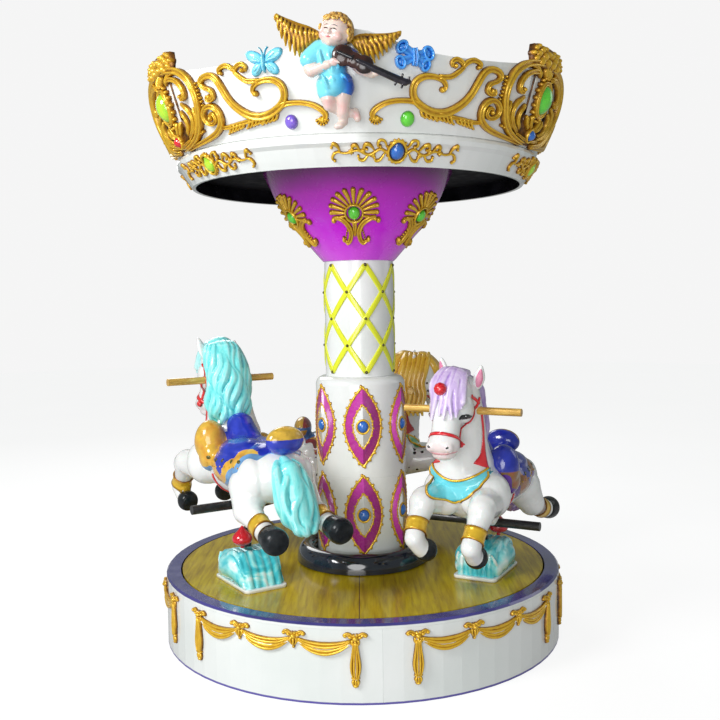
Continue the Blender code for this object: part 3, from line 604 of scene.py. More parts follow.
def canopy_paint():
    """White outside and on the lip, black on the inner wall, by how far in from the outer curve a point lies."""
    made = Shader("canopy_white", 0.16, 0.0, 0.7, 0.05)
    tone = made.tone(3.0, 4.0, (0.80, 0.83, 0.81), (0.88, 0.89, 0.88))
    dark = made.tone(12.0, 4.0, *BLACK_TONES)
    across, deep = made.axis("X"), made.axis("Y")
    square = made.math("ADD", made.math("MULTIPLY", across, across), made.math("MULTIPLY", deep, deep))
    wall = made.math("MULTIPLY_ADD", made.math("MINIMUM", made.axis("Z"), 1.628), 0.65, 0.579 - 0.65 * 1.566)
    outer = made.span(made.math("SUBTRACT", made.math("SQRT", square), wall), -0.013, -0.010)
    made.feed("Coat Weight", made.math("MULTIPLY", outer, 0.7))
    made.feed("Specular IOR Level", made.math("MULTIPLY_ADD", outer, 0.45, 0.05))
    return made.finished(made.mix(outer, dark, tone), (20.0, 0.12, 0.22), (4.0, 1.0, 0.08, 0.002))


def magenta_paint():
    """Bright magenta, lighter towards the foot and near black at the top, where the darkening is painted shade under
    the canopy.
    """
    made = Shader("capital_magenta", 0.22, 0.0, 0.55, 0.08)
    height = made.stirred(made.axis("Z"), 0.04, made.noise(6.0))
    # Painted shade: the colour darkens with height towards the canopy above.
    tone = made.ramp(made.span(height, 1.313, 1.620), [
        (0.0, (0.78, 0.10, 0.92)), (0.35, (0.70, 0.014, 0.84)), (0.72, (0.52, 0.004, 0.56)),
        (0.95, (0.16, 0.002, 0.16)),
    ])
    return made.finished(tone, (22.0, 0.17, 0.32), (5.0, 1.0, 0.15, 0.002))


def black_gloss():
    made = Shader("foot_ring_black", 0.10, 0.0, 0.8, 0.04)
    tone = made.tone(9.0, 4.0, (0.006, 0.008, 0.014), (0.020, 0.028, 0.050), 0.35, 0.70)
    return made.finished(tone, (30.0, 0.07, 0.18), (16.0, 2.0, 0.12, 0.002))


def satin(name, dark, light, rough=0.42, scale=40.0, shine=0.5):
    made = Shader(name, rough, 0.0, 0.3 * shine, 0.2)
    made.feed("Specular IOR Level", shine)
    tone = made.tone(scale, 5.0, dark, light, 0.35, 0.70)
    return made.finished(tone, (scale * 2.0, rough * 0.8, rough * 1.3), (scale * 6.0, 2.0, 0.18, 0.0006))


def bar_paint():
    """Golden-yellow paint on the hand bars, brushed along the tube."""
    made = Shader("hand_bar_gold", 0.28, 0.2, 0.5, 0.1)
    long = made.noise(1.0, 4.0, made.mapped((18.0, 18.0, 160.0)), 0.6, 0.3)
    tones = [(0.32, (0.42, 0.22, 0.035)), (0.5, (0.70, 0.42, 0.085)), (0.72, (0.86, 0.60, 0.17))]
    made.feed("Base Color", made.ramp(long, tones))
    made.glossed(long, 0.34, 0.22)
    made.bump(long, 0.15, 0.0006)
    return made.material


def cap_paint():
    made = Shader("cap_red_paint", 0.16, 0.0, 0.8, 0.05)
    tone = made.tone(45.0, 3.0, (0.40, 0.003, 0.010), (0.72, 0.012, 0.030), 0.3, 0.7)
    return made.finished(tone, (60.0, 0.10, 0.24), (90.0, 2.0, 0.2, 0.001))


def dress_nodes():
    """Paints on the CAD nodes' own material slots."""
    column = column_paint()
    steel = satin("base_steel_black", (0.010, 0.010, 0.010), (0.04, 0.037, 0.034))
    for name, count, paint in (
        ("skirt_panel", 6, skirt_paint()), ("deck_rim", 0, rim_paint()), ("deck", 0, deck_paint()),
        ("lower_column", 0, column), ("upper_column", 0, column), ("capital", 0, magenta_paint()),
        ("column_foot_ring", 0, black_gloss()), ("canopy_band", 3, canopy_paint()), ("crown_panel", 3, WHITE),
        ("canopy_ceiling", 0, satin("ceiling_black", *BLACK_TONES, 0.8, 12.0, 0.08)),
        ("base_plate", 0, steel), ("base_hub", 0, steel),
        ("horse_mount", 3, satin("foot_bar_black", (0.006, 0.007, 0.008), (0.025, 0.027, 0.030), 0.36)),
        ("handle_bar", 3, bar_paint()), ("red_cap", 3, cap_paint()),
    ):
        for node in [f"{name}_{i + 1}" for i in range(count)] or [name]:
            for slot in NODES[node].material_slots:
                slot.material = paint


# Gold swags round the base
def knot_relief(tail):
    """A tied bow of cloth, at x = 0, with a long tassel where a run of swags ends."""
    made = Relief()
    for side in SIDES:
        made.strip(
            [
                (0.001 * side, 0.197), (0.008 * side, 0.206), (0.017 * side, 0.2125), (0.0235 * side, 0.209),
                (0.0225 * side, 0.202),
            ],
            [0.008, 0.011, 0.0105, 0.008, 0.005], 0.0095, FLUTED, tips=0.7,
        )
        made.dome(0.0225 * side, 0.2075, 0.0062, 0.0062, 0.011)
        made.dome(0.011 * side, 0.204, 0.007, 0.006, 0.0125, 30.0 * side)
        made.strip(
            [(0.006 * side, 0.197), (0.0075 * side, 0.184), (0.003 * side, 0.172)], [0.008, 0.006, 0.003], 0.009,
            tips=0.5,
        )
    made.dome(0.0, 0.2, 0.0085, 0.0095, 0.016)
    made.dome(-0.003, 0.2085, 0.0055, 0.005, 0.013)
    made.dome(0.004, 0.2095, 0.005, 0.0045, 0.012)
    made.strip([(0.0, 0.196), (0.0, 0.182), (0.0, 0.168)], [0.008, 0.007, 0.003], 0.011, tips=0.6)
    made.dome(0.0, 0.168, 0.004, 0.006, 0.008)
    if tail:
        made.plate(
            [(-0.0065, 0.186), (-0.0085, 0.160), (-0.0125, 0.120), (-0.0115, 0.098), (-0.0075, 0.084),
             (0.0075, 0.084), (0.0115, 0.098), (0.0125, 0.120), (0.0085, 0.160), (0.0065, 0.186)],
            0.005, 0.25, 4,
        )
        for off, width in ((-1.0, 0.0055), (-0.36, 0.006), (0.36, 0.006), (1.0, 0.0055)):
            made.strip(
                [
                    (0.004 * off, 0.188), (0.0065 * off, 0.158), (0.010 * off, 0.120), (0.0085 * off, 0.098),
                    (0.005 * off, 0.083),
                ],
                [width * 0.7, width, width * 1.15, width, width * 0.8], 0.0105, lift=0.002,
            )
        made.strip([(-0.0095, 0.0835), (0.0, 0.0815), (0.0095, 0.0835)], [0.006], 0.0125, tips=0.7)
        for off in (-1.0, 0.0, 1.0):
            made.strip(
                [(0.004 * off, 0.080), (0.0062 * off, 0.070), (0.0045 * off, 0.060)], [0.005, 0.008, 0.004], 0.010,
                tips=0.5,
            )
        made.dome(0.0, 0.0595, 0.0075, 0.0065, 0.011)
    return made


def swag_relief(span):
    """Folds of cloth that hang between two knots, span apart, starting at x = 0."""
    made = Relief()
    folds = ((0.1945, 0.013, 0.0065), (0.1925, 0.021, 0.0085), (0.1895, 0.0285, 0.0085), (0.186, 0.0345, 0.0075))
    for i, (top, sag, width) in enumerate(folds):
        points = []
        for t in np.linspace(0.0, 1.0, 9):
            lean = 0.012 + (span - 0.024) * t
            points.append((lean, top - 4.0 * sag * t * (1.0 - t)))
        made.strip(
            points, [0.004, 1.35 * width, 1.6 * width, 1.35 * width, 0.004], 0.0100 + 0.0014 * (i % 2), steps=22,
            tips=0.6,
        )
    return made


def turned_piece(name, profile, paint, node):
    """A smooth turned shell in place of a CAD node: its profile is (radius, height) from the foot up."""
    bm = bmesh.new()
    rings = [[bm.verts.new(polar(radius, 2.5 * k, z)) for k in range(144)] for radius, z in profile]
    bridge(rings, bm.faces.new)
    cap(rings, bm.faces.new)
    made = piece(name, bm, [paint], "turntable", [node])
    made.data.set_sharp_from_angle(angle=math.radians(40.0))


def make_turned():
    """The column, its foot ring and the capital, finely turned, with their rolled edges and joint lines."""
    foot = DECK_TOP + 0.0003
    ring = [(0.166, foot), (0.166, foot + 0.008)]
    for step in range(25):
        turn = math.radians(180.0 - 7.5 * step)
        ring.append((0.2005 + 0.0365 * math.cos(turn), foot + 0.003 + 0.0625 * max(0.0, math.sin(turn)) ** 0.8))
    turned_piece("foot_ring_gloss", ring, black_gloss(), "column_foot_ring")
    column = column_paint()
    r = LOWER_COLUMN_RADIUS
    low = [
        (r - 0.002, foot), (r, foot + 0.003), (r, 0.560), (r - 0.0008, 0.5606), (r - 0.0008, 0.5614), (r, 0.562),
        (r, 0.878),
    ]
    for step in range(1, 13):
        turn = math.radians(7.5 * step)
        low.append((r - 0.030 + 0.030 * math.cos(turn), 0.878 + 0.030 * math.sin(turn)))
    turned_piece("lower_column_shell", low, column, "lower_column")
    r = UPPER_COLUMN_RADIUS
    high = [(r, 0.9083), (r, 0.915), (r, 1.100), (r, 1.305), (r - 0.001, 1.3100), (r - 0.001, 1.3130)]
    turned_piece("upper_column_shell", high, column, "upper_column")
    line = spline([(radius, z) for z, radius in CAPITAL_CURVE], 40)
    cone = [(0.120, 1.3131), (0.1262, 1.3134), *line[1:], (0.330, 1.620)]
    turned_piece("capital_shell", cone, magenta_paint(), "capital")


def make_swags():
    plain, tied, swag = knot_relief(False), knot_relief(True), swag_relief(math.radians(15.0) * BASE_RADIUS)
    for knot in (plain, tied):
        for vert in knot.bm.verts:
            vert.co.x *= 1.30
    for group in range(6):
        parts = []
        for step, relief in enumerate((tied, swag, plain, swag, plain, swag, tied)):
            angle = -47.0 + 60.0 * group + 15.0 * (step // 2)
            parts.append(wrapped(relief, straight(BASE_RADIUS), BASE_RADIUS, angle))
        piece(f"gold_swag_{group + 1}", joined(parts), [GOLD], "base")


# Column ornament
def medallion_relief():
    """A pointed oval: scalloped gold borders, a magenta band and a blue stone."""
    made = Relief()

    def oval(half_wide, half_tall, count):
        out = []
        for i in range(count):
            t = 2.0 * math.pi * i / count
            y = math.sin(t)
            x = math.copysign((1.0 - abs(y) ** 1.95), math.cos(t)) if abs(math.cos(t)) > 1e-6 else 0.0
            out.append((half_wide * x, half_tall * y))
        return out

    def border(half_wide, half_tall, beads, width, size):
        path = oval(half_wide, half_tall, 48)
        made.strip(path + path[:1], [width], 0.0040, steps=96)
        edge = np.array(oval(half_wide, half_tall, 720) + [(half_wide, 0.0)])
        run = np.concatenate(([0.0], np.cumsum(np.linalg.norm(np.diff(edge, axis=0), axis=1))))
        for i in range(beads):
            at = run[-1] * (i + 0.5) / beads
            x, y = np.interp(at, run, edge[:, 0]), np.interp(at, run, edge[:, 1])
            grow = 1.0 + 0.035 * (1 if i % 2 else -0.4)
            swell = size * (1.25 if i % 2 else 0.85)
            turn = math.degrees(math.atan2(y / half_tall, x / half_wide))
            made.dome(x * grow, y * grow, swell, size * 0.9, 0.0052, turn, sides=8, rings=3)

    made.slot = 1
    outer = oval(0.066, 0.139, 64)
    made.plate(outer, 0.0020, 0.55, 10)
    made.slot = 2
    made.plate([(x * 0.545, y * 0.555) for x, y in outer], 0.0028, 0.5, 6)
    made.slot = 0
    border(0.0645, 0.1385, 44, 0.0085, 0.0066)
    border(0.0340, 0.0760, 28, 0.0060, 0.0052)
    made.ring(0.0, 0.0, 0.0215, 0.0235, 0.0085, 0.0065)
    made.slot = 3
    made.dome(0.0, 0.0, 0.0190, 0.0210, 0.0135, sides=24, rings=8)
    return made


def make_medallions():
    relief = medallion_relief()
    paints = [GOLD, MAGENTA_BAND, WHITE, GEMS["blue"]]
    for row, height in enumerate((0.432, 0.740)):
        raised = relief.copy()
        bmesh.ops.translate(raised.bm, verts=list(raised.bm.verts), vec=(0.0, height, 0.0))
        around = [
            wrapped(raised, straight(LOWER_COLUMN_RADIUS), LOWER_COLUMN_RADIUS, 2.5 + 60.0 * k) for k in range(6)
        ]
        piece(f"column_medallions_{row + 1}", joined(around), paints, "turntable")


def make_lattice():
    """Yellow bands that cross in diamonds, with a stud on each crossing."""
    made = Relief()
    rows = (1.297, 1.204, 1.111, 1.018, 0.925)
    pitch = math.radians(30.0) * UPPER_COLUMN_RADIUS
    first = math.radians(-50.0) * UPPER_COLUMN_RADIUS
    for k in range(6):
        for lean, height in ((1.0, 0.0040), (-1.0, 0.0046)):
            points = [(first + (2 * k + lean * i) * pitch, z) for i, z in enumerate(rows)]
            made.strip(points, [0.0200], height, FLAT_BAND, steps=40)
    made.slot = 1
    for i, z in enumerate(rows):
        for k in range(6):
            made.dome(first + (2 * k + i % 2) * pitch, z, 0.0062, 0.0066, 0.0095, sides=10, rings=4)
    bm = wrapped(made, straight(UPPER_COLUMN_RADIUS), UPPER_COLUMN_RADIUS, 0.0)
    piece("column_lattice", bm, [YELLOW, STUD], "turntable")


def shell_relief():
    """A fanned shell over two curling tails, with a green stone at its heart."""
    made = Relief()
    hub = 1.463
    rays = 13
    for i in range(rays):
        angle = math.radians(-14.0 + 208.0 * i / (rays - 1))
        far = 0.066 + 0.006 * math.sin(math.pi * i / (rays - 1))
        c, s = math.cos(angle), math.sin(angle)
        tip = (far * 1.12 * c, hub + far * s)
        near = (0.026 * c, hub + 0.026 * s)
        middle = (0.050 * c, hub + 0.048 * s)
        made.strip([near, middle, tip], [0.006, 0.012, 0.0165], 0.0095, tips=0.85)
        made.dome(tip[0], tip[1], 0.0078, 0.0078, 0.0125, sides=10, rings=4)
    made.ring(0.0, hub, 0.0285, 0.0265, 0.0085, 0.0130)
    for side, reach in ((-1.0, 0.93), (1.0, 1.07)):
        made.dome(0.079 * side * reach, hub - 0.020, 0.0095, 0.0095, 0.015, sides=12)
        made.strip(
            [(0.070 * side * reach, hub - 0.012), (0.048 * side * reach, hub - 0.016), (0.026 * side, hub - 0.034),
             (0.016 * side, hub - 0.058), (0.022 * side, hub - 0.080), (0.036 * side, hub - 0.090),
             (0.050 * side * reach, hub - 0.084)],
            [0.012, 0.016, 0.018, 0.020, 0.019, 0.014, 0.010], 0.013, FLUTED, steps=26, tips=0.7,
        )
        made.dome(0.054 * side * reach, hub - 0.080, 0.0095, 0.0095, 0.016, sides=12)
        for k in range(5):
            t = k / 4.0
            made.dome((0.028 + 0.014 * t) * side, hub - 0.047 - 0.030 * t, 0.0035, 0.0035, 0.010, sides=8, rings=3)
    made.strip([(0.0, hub - 0.022), (0.0, hub - 0.045), (0.0, hub - 0.070)], [0.022, 0.016, 0.010], 0.011, FLUTED)
    made.slot = 1
    made.dome(0.0, hub, 0.0205, 0.0195, 0.0205, sides=22, rings=8)
    return made


def make_shells():
    relief = shell_relief()
    parts = [wrapped(relief, curve_radius(CAPITAL_CURVE), 0.250, -3.0 + 60.0 * k) for k in range(6)]
    piece("capital_shells", joined(parts), [GOLD, GEMS["green"]], "turntable")


def band_relief():
    """Rinceau scrolls on both sides of a round stone."""
    made = Relief()
    mid = 1.606
    stem = [
        (0.026, mid - 0.006), (0.050, mid + 0.006), (0.082, mid - 0.009), (0.116, mid + 0.003), (0.150, mid - 0.004),
        (0.176, mid + 0.001),
    ]
    made.strip(stem, [0.009, 0.008, 0.008, 0.007, 0.006, 0.005], 0.0085, steps=24)
    hooks = (
        [
            (0.030, mid + 0.010), (0.040, mid + 0.026), (0.054, mid + 0.027), (0.058, mid + 0.017),
            (0.050, mid + 0.013),
        ],
        [(0.036, mid - 0.004), (0.048, mid - 0.021), (0.062, mid - 0.024), (0.066, mid - 0.015)],
        [
            (0.066, mid + 0.001), (0.078, mid + 0.016), (0.092, mid + 0.019), (0.097, mid + 0.010),
            (0.089, mid + 0.006),
        ],
        [(0.084, mid - 0.008), (0.096, mid - 0.022), (0.110, mid - 0.021), (0.113, mid - 0.012)],
        [(0.108, mid + 0.001), (0.119, mid + 0.016), (0.131, mid + 0.014), (0.130, mid + 0.006)],
        [(0.166, mid - 0.002), (0.172, mid + 0.014), (0.183, mid + 0.021), (0.190, mid + 0.012)],
        [(0.170, mid), (0.183, mid - 0.004), (0.190, mid - 0.016), (0.183, mid - 0.023)],
    )
    for hook in hooks:
        made.strip(hook, [0.005, 0.009, 0.009, 0.005], 0.0095, steps=14, tips=0.6)
        made.dome(*hook[-1], 0.0046, 0.0046, 0.0105, sides=9, rings=4)
    for x, y in ((0.070, mid - 0.010), (0.100, mid + 0.001), (0.134, mid - 0.001)):
        for turn in (30.0, 90.0, 150.0):
            made.dome(x, y, 0.0095, 0.0036, 0.0095, turn, sides=10, rings=4)
    made.mirrored()
    made.ring(0.0, mid, 0.0265, 0.0265, 0.0085, 0.0120)
    for i in range(16):
        t = math.radians(22.5 * i)
        made.dome(0.0305 * math.cos(t), mid + 0.0305 * math.sin(t), 0.0036, 0.0036, 0.0075, sides=8, rings=3)
    made.slot = 1
    made.dome(0.0, mid, 0.0225, 0.0225, 0.0190, sides=24, rings=8)
    return made


def make_band_scrolls():
    relief = band_relief()
    for k in range(6):
        stone = GEMS["blue"] if k % 2 == 0 else GEMS["lime"]
        bm = wrapped(relief, curve_radius(BAND_CURVE), 0.606, 11.0 + 60.0 * k)
        piece(f"band_scroll_{k + 1}", bm, [GOLD, stone], "turntable")


# Crown ornament, drawn in degrees from the middle of each cherub
DEGREE = math.radians(1.0) * CROWN_REACH


def turned_points(points):
    return [(x * DEGREE, y) for x, y in points]


def crown_scroll_relief():
    """The right-hand scroll of a pair: a double curl, leaf sprigs and a branch."""
    made = Relief()
    scroll = turned_points([
        (38.6, 1.790), (38.9, 1.779), (37.6, 1.776), (36.2, 1.784), (36.5, 1.801), (38.6, 1.812), (39.6, 1.825),
        (38.6, 1.838), (36.2, 1.841), (34.2, 1.828), (32.8, 1.800), (31.6, 1.771), (29.8, 1.745), (27.2, 1.724),
        (24.4, 1.714), (21.4, 1.715), (18.4, 1.728), (16.4, 1.746), (15.7, 1.767), (16.2, 1.789), (18.0, 1.803),
        (20.6, 1.805), (22.9, 1.798), (24.0, 1.784), (23.6, 1.769),
    ])
    wide = [0.009, 0.010, 0.012, 0.013, 0.013, 0.013, 0.015, 0.018, 0.020, 0.021, 0.021, 0.021, 0.022, 0.023,
            0.023, 0.023, 0.023, 0.022, 0.022, 0.021, 0.019, 0.017, 0.015, 0.012, 0.009]
    made.strip(scroll, wide, 0.0165, FLUTED, steps=110, tips=0.7)
    made.dome(37.7 * DEGREE, 1.786, 0.0085, 0.0085, 0.018, sides=14)
    made.dome(23.3 * DEGREE, 1.773, 0.0095, 0.0085, 0.017, sides=14)
    for path, wide, height, tips in (
        ([(22.0, 1.806), (24.9, 1.808), (26.7, 1.820), (28.2, 1.836)], [0.014, 0.015, 0.014, 0.012], 0.013, 1.0),
        (
            [(27.9, 1.833), (29.0, 1.849), (30.8, 1.858), (32.6, 1.852), (33.2, 1.838)],
            [0.010, 0.015, 0.016, 0.012, 0.006], 0.014, 0.6,
        ),
        (
            [(28.4, 1.836), (27.4, 1.850), (26.0, 1.855), (24.9, 1.846), (25.3, 1.834)],
            [0.009, 0.014, 0.015, 0.011, 0.007], 0.014, 0.6,
        ),
    ):
        made.strip(turned_points(path), wide, height, FLUTED, tips=tips)
    made.dome(26.0 * DEGREE, 1.838, 0.0075, 0.0075, 0.016)
    made.dome(32.4 * DEGREE, 1.840, 0.0065, 0.0065, 0.014)
    made.strip(turned_points(
        [
            (18.2, 1.729), (16.2, 1.739), (13.8, 1.741), (11.2, 1.739), (8.8, 1.732), (6.8, 1.719), (5.9, 1.705),
            (6.3, 1.691),
        ]
    ),
               [0.017, 0.016, 0.014, 0.014, 0.015, 0.017, 0.019, 0.013], 0.015, FLUTED, steps=36)
    for k in range(6):
        angle = math.radians(200.0 + 28.0 * k)
        made.strip(
            [(6.9 * DEGREE, 1.699), (6.9 * DEGREE + 0.018 * math.cos(angle), 1.697 + 0.016 * math.sin(angle))],
            [0.009, 0.006], 0.013, steps=4, tips=0.6,
        )
        made.dome(
            6.9 * DEGREE + 0.019 * math.cos(angle), 1.697 + 0.017 * math.sin(angle), 0.0046, 0.0046, 0.012, sides=9,
            rings=4,
        )
    made.strip(
        turned_points([(37.5, 1.700), (34.5, 1.697), (31.0, 1.701), (27.5, 1.705), (23.5, 1.711)]),
        [0.010, 0.013, 0.013, 0.012, 0.012], 0.012, FLUTED, steps=20,
    )
    for base, count in ((33.4, 5), (26.8, 5), (21.8, 4)):
        y = 1.700 + 0.0022 * (33.4 - base) / 2.0
        for k in range(count):
            x = base - 1.15 * k
            drop = 0.020 - 0.0022 * k
            leaf = turned_points([(x, y + 0.004), (x + 0.6, y - drop * 0.6), (x + 1.5, y - drop)])
            made.strip(leaf, [0.008, 0.010, 0.005], 0.012, steps=8, tips=0.6)
            made.dome(*leaf[-1], 0.0042, 0.0042, 0.0115, sides=8, rings=3)
    return made


def gem_relief(x, y, wide, tall):
    made = Relief()
    made.dome(x * DEGREE, y, wide, tall, 0.016, sides=24, rings=8)
    return made


def butterfly_relief():
    """Four rounded wings on a ribbed body, with two feelers."""
    made = Relief()
    x, y = -22.0 * DEGREE, 1.852
    for side in SIDES:
        made.dome(x + 0.030 * side, y + 0.016, 0.031, 0.017, 0.011, 28.0 * side, sides=18, rings=6)
        made.dome(x + 0.024 * side, y - 0.017, 0.023, 0.015, 0.010, -42.0 * side, sides=18, rings=6)
        for reach, rise in ((0.040, 0.022), (0.044, 0.010), (0.034, -0.022), (0.026, -0.028)):
            made.strip([
                (x + 0.006 * side, y + 0.1 * rise), (x + 0.6 * reach * side, y + 0.62 * rise),
                (x + reach * side, y + rise),
            ],
                       [0.006, 0.009, 0.005], 0.0145, tips=0.5)
        made.dome(x + 0.050 * side, y + 0.026, 0.0075, 0.0065, 0.011, sides=12, rings=4)
        made.strip(
            [(x + 0.002 * side, y + 0.018), (x + 0.007 * side, y + 0.033), (x + 0.014 * side, y + 0.041)],
            [0.003, 0.0028, 0.0034], 0.008,
        )
    made.strip([(x, y + 0.024), (x, y), (x, y - 0.028)], [0.007, 0.012, 0.006], 0.018, tips=0.5)
    return made


def bow_relief():
    """A rolled ribbon tied in the middle, its four loops open at their ends."""
    made = Relief()
    x, y = 15.6 * DEGREE, 1.853
    loops = (
        (-0.034, 0.023, -38.0, 0.019), (-0.037, -0.014, 28.0, 0.018), (0.036, 0.010, 24.0, 0.020),
        (0.030, -0.019, -18.0, 0.016),
    )
    for dx, dy, turn, size in loops:
        made.strip(
            [(x, y - 0.002), (x + 0.5 * dx, y + 0.6 * dy), (x + dx, y + dy)], [0.014, 0.026, 0.030], 0.013, FLUTED,
            steps=10,
        )
        made.ring(x + dx * 1.08, y + dy * 1.08, size * 0.62, size * 0.86, 0.010, 0.017, turn=turn, count=22)
        made.dome(x + dx * 1.08, y + dy * 1.08, size * 0.45, size * 0.62, 0.008, turn, sides=12, rings=4)
    made.strip([(x - 0.002, y + 0.022), (x + 0.001, y), (x - 0.001, y - 0.024)], [0.015, 0.018, 0.015], 0.020, FLUTED)
    made.dome(x + 0.009, y - 0.001, 0.006, 0.016, 0.018, sides=12)
    return made


def make_crown_ornament():
    scroll = crown_scroll_relief()
    flipped = scroll.copy()
    for vertex in flipped.bm.verts:
        vertex.co.x = -vertex.co.x
    bmesh.ops.reverse_faces(flipped.bm, faces=list(flipped.bm.faces))
    single = (
        ("purple_stone", gem_relief(-15.2, 1.691, 0.0215, 0.0200), GEMS["purple"], 0.0),
        ("green_stone", gem_relief(15.2, 1.693, 0.0230, 0.0215), GEMS["green"], 0.0),
        ("butterfly", butterfly_relief(), SKY, 2.0), ("bow", bow_relief(), ROYAL, 0.0),
    )
    for k in range(3):
        angle = CROWN_PHASE + 120.0 * k
        both = joined([on_crown(scroll, angle), on_crown(flipped, angle)])
        piece(f"crown_scrolls_{k + 1}", both, [GOLD], "turntable")
        for name, relief, paint, turn in single:
            piece(f"crown_{name}_{k + 1}", on_crown(relief, angle + turn), [paint], "turntable")


def cartouche_relief():
    """Half of a crown cartouche, then mirrored: crest, ribs, curled lobe and knobbed finial."""
    made = Relief()
    made.plate(
        turned_points([(0.0, 1.884), (9.0, 1.884), (9.4, 1.915), (8.8, 1.944), (4.0, 1.947), (0.0, 1.948)]), 0.016,
        0.3, 6,
    )
    made.plate(
        turned_points(
            [
                (0.0, 1.662), (6.0, 1.668), (9.0, 1.690), (8.0, 1.720), (6.6, 1.750), (7.0, 1.800), (6.4, 1.850),
                (7.0, 1.886), (0.0, 1.886),
            ]
        ),
        0.007, 0.12, 6,
    )
    crest = turned_points([
        (3.0, 1.893), (7.5, 1.889), (12.0, 1.875), (15.6, 1.848), (17.4, 1.812), (17.5, 1.775), (16.2, 1.738),
        (14.6, 1.712), (12.0, 1.690), (8.0, 1.674), (3.0, 1.664),
    ])
    made.strip(
        crest, [0.016, 0.021, 0.023, 0.023, 0.022, 0.021, 0.020, 0.020, 0.018, 0.016, 0.014], 0.021, FLUTED, steps=60,
    )
    inner = turned_points(
        [(3.4, 1.866), (7.0, 1.865), (10.4, 1.852), (12.6, 1.828), (12.8, 1.806), (11.4, 1.798), (10.4, 1.806)]
    )
    made.strip(inner, [0.012, 0.015, 0.016, 0.014, 0.012, 0.010, 0.008], 0.018, FLUTED, steps=34, tips=0.7)
    made.dome(10.7 * DEGREE, 1.808, 0.008, 0.008, 0.019)
    for path, wide in (
        (
            [(9.4, 1.790), (12.2, 1.768), (12.9, 1.738), (11.0, 1.710), (7.4, 1.690)],
            [0.008, 0.012, 0.014, 0.013, 0.010],
        ),
        ([(8.0, 1.770), (9.6, 1.748), (9.4, 1.722), (7.0, 1.702)], [0.008, 0.010, 0.011, 0.008]),
        ([(14.6, 1.770), (14.8, 1.742), (13.4, 1.716), (10.6, 1.696)], [0.006, 0.009, 0.009, 0.007]),
        ([(5.6, 1.742), (4.4, 1.722), (2.6, 1.708)], [0.009, 0.010, 0.007]),
        ([(3.0, 1.744), (2.2, 1.724), (1.0, 1.712)], [0.008, 0.009, 0.006]),
        ([(1.6, 1.676), (4.4, 1.681), (7.6, 1.688)], [0.008, 0.010, 0.007]),
        ([(3.6, 1.855), (6.0, 1.876), (9.6, 1.880)], [0.008, 0.011, 0.008]),
    ):
        made.strip(turned_points(path), wide, 0.016, FLUTED, steps=22, tips=0.6)
    lobe = turned_points([
        (20.0, 1.736), (21.2, 1.742), (22.4, 1.736), (22.4, 1.722), (20.6, 1.714), (18.6, 1.724), (18.4, 1.744),
        (20.4, 1.761),
        (22.9, 1.757), (24.2, 1.738), (23.8, 1.712), (21.2, 1.690), (17.0, 1.677), (11.0, 1.668), (4.0, 1.660),
    ])
    made.strip(
        lobe,
        [0.007, 0.009, 0.010, 0.011, 0.012, 0.012, 0.013, 0.015, 0.017, 0.018, 0.019, 0.019, 0.018, 0.015, 0.012],
        0.019, FLUTED, steps=78, tips=0.7,
    )
    made.dome(20.6 * DEGREE, 1.731, 0.0088, 0.0088, 0.021)
    for k in range(7):
        t = k / 6.0
        made.dome((15.4 - 6.0 * t) * DEGREE, 1.700 - 0.014 * t, 0.0048, 0.0048, 0.015, sides=9, rings=4)
        made.dome((17.9 - 0.6 * t) * DEGREE + 0.013, 1.768 + 0.062 * t, 0.0046, 0.0046, 0.013, sides=9, rings=4)
    for k in range(9):
        t = math.radians(10.0 + 20.0 * k)
        made.dome(
            0.052 * math.cos(t - math.pi / 2), 1.797 + 0.062 * math.sin(t - math.pi / 2), 0.0062, 0.0062, 0.017,
            sides=9, rings=4,
        )
    for x, y, size in (
        (1.6, 1.900, 0.020), (5.0, 1.898, 0.018), (7.9, 1.902, 0.014), (3.2, 1.916, 0.019), (6.6, 1.918, 0.017),
        (1.0, 1.927, 0.017),
        (4.6, 1.934, 0.016), (7.8, 1.933, 0.013), (2.6, 1.940, 0.011), (6.4, 1.942, 0.010), (8.8, 1.916, 0.011),
    ):
        made.dome(x * DEGREE, y, size, size * 0.86, 0.022 + size * 0.4, 20.0 * x, sides=12, rings=5)
    made.mirrored()
    made.ring(0.0, 1.797, 0.0405, 0.0480, 0.013, 0.020, FLUTED, 36)
    made.ring(0.0, 1.692, 0.0205, 0.0195, 0.008, 0.017, ROUND, 26)
    for turn in (-40.0, -20.0, 0.0, 20.0, 40.0):
        s, c = math.sin(math.radians(turn)), math.cos(math.radians(turn))
        made.strip(
            [(0.020 * s, 1.852 + 0.008 * c), (0.034 * s, 1.856 + 0.026 * c), (0.040 * s, 1.852 + 0.042 * c)],
            [0.007, 0.013, 0.006], 0.018, tips=0.6,
        )
    made.slot = 1
    made.dome(0.0, 1.797, 0.0375, 0.0450, 0.038, sides=28, rings=9)
    made.slot = 2
    made.dome(0.0, 1.694, 0.0190, 0.0185, 0.029, sides=22, rings=7)
    return made


def make_cartouches():
    relief = cartouche_relief()
    stones = (("green", "blue"), ("green", "red"), ("lime", "red"))
    for k, (upper, lower) in enumerate(stones):
        bm = on_crown(relief, CROWN_PHASE + 60.0 + 120.0 * k)
        paints = [GOLD, GEMS[upper], GEMS[lower]]
        piece(f"crown_cartouche_{k + 1}", bm, paints, "turntable", [f"cartouche_{k + 1}"])

# Soft forms, melded from balls and limbs
def add_ball(bm, centre, radii, tilt=None):
    place = Matrix.Translation(Vector(centre))
    if tilt is not None:
        place = place @ tilt
    bmesh.ops.create_icosphere(bm, subdivisions=3, radius=1.0, matrix=place @ Matrix.Diagonal((*radii, 1.0)))


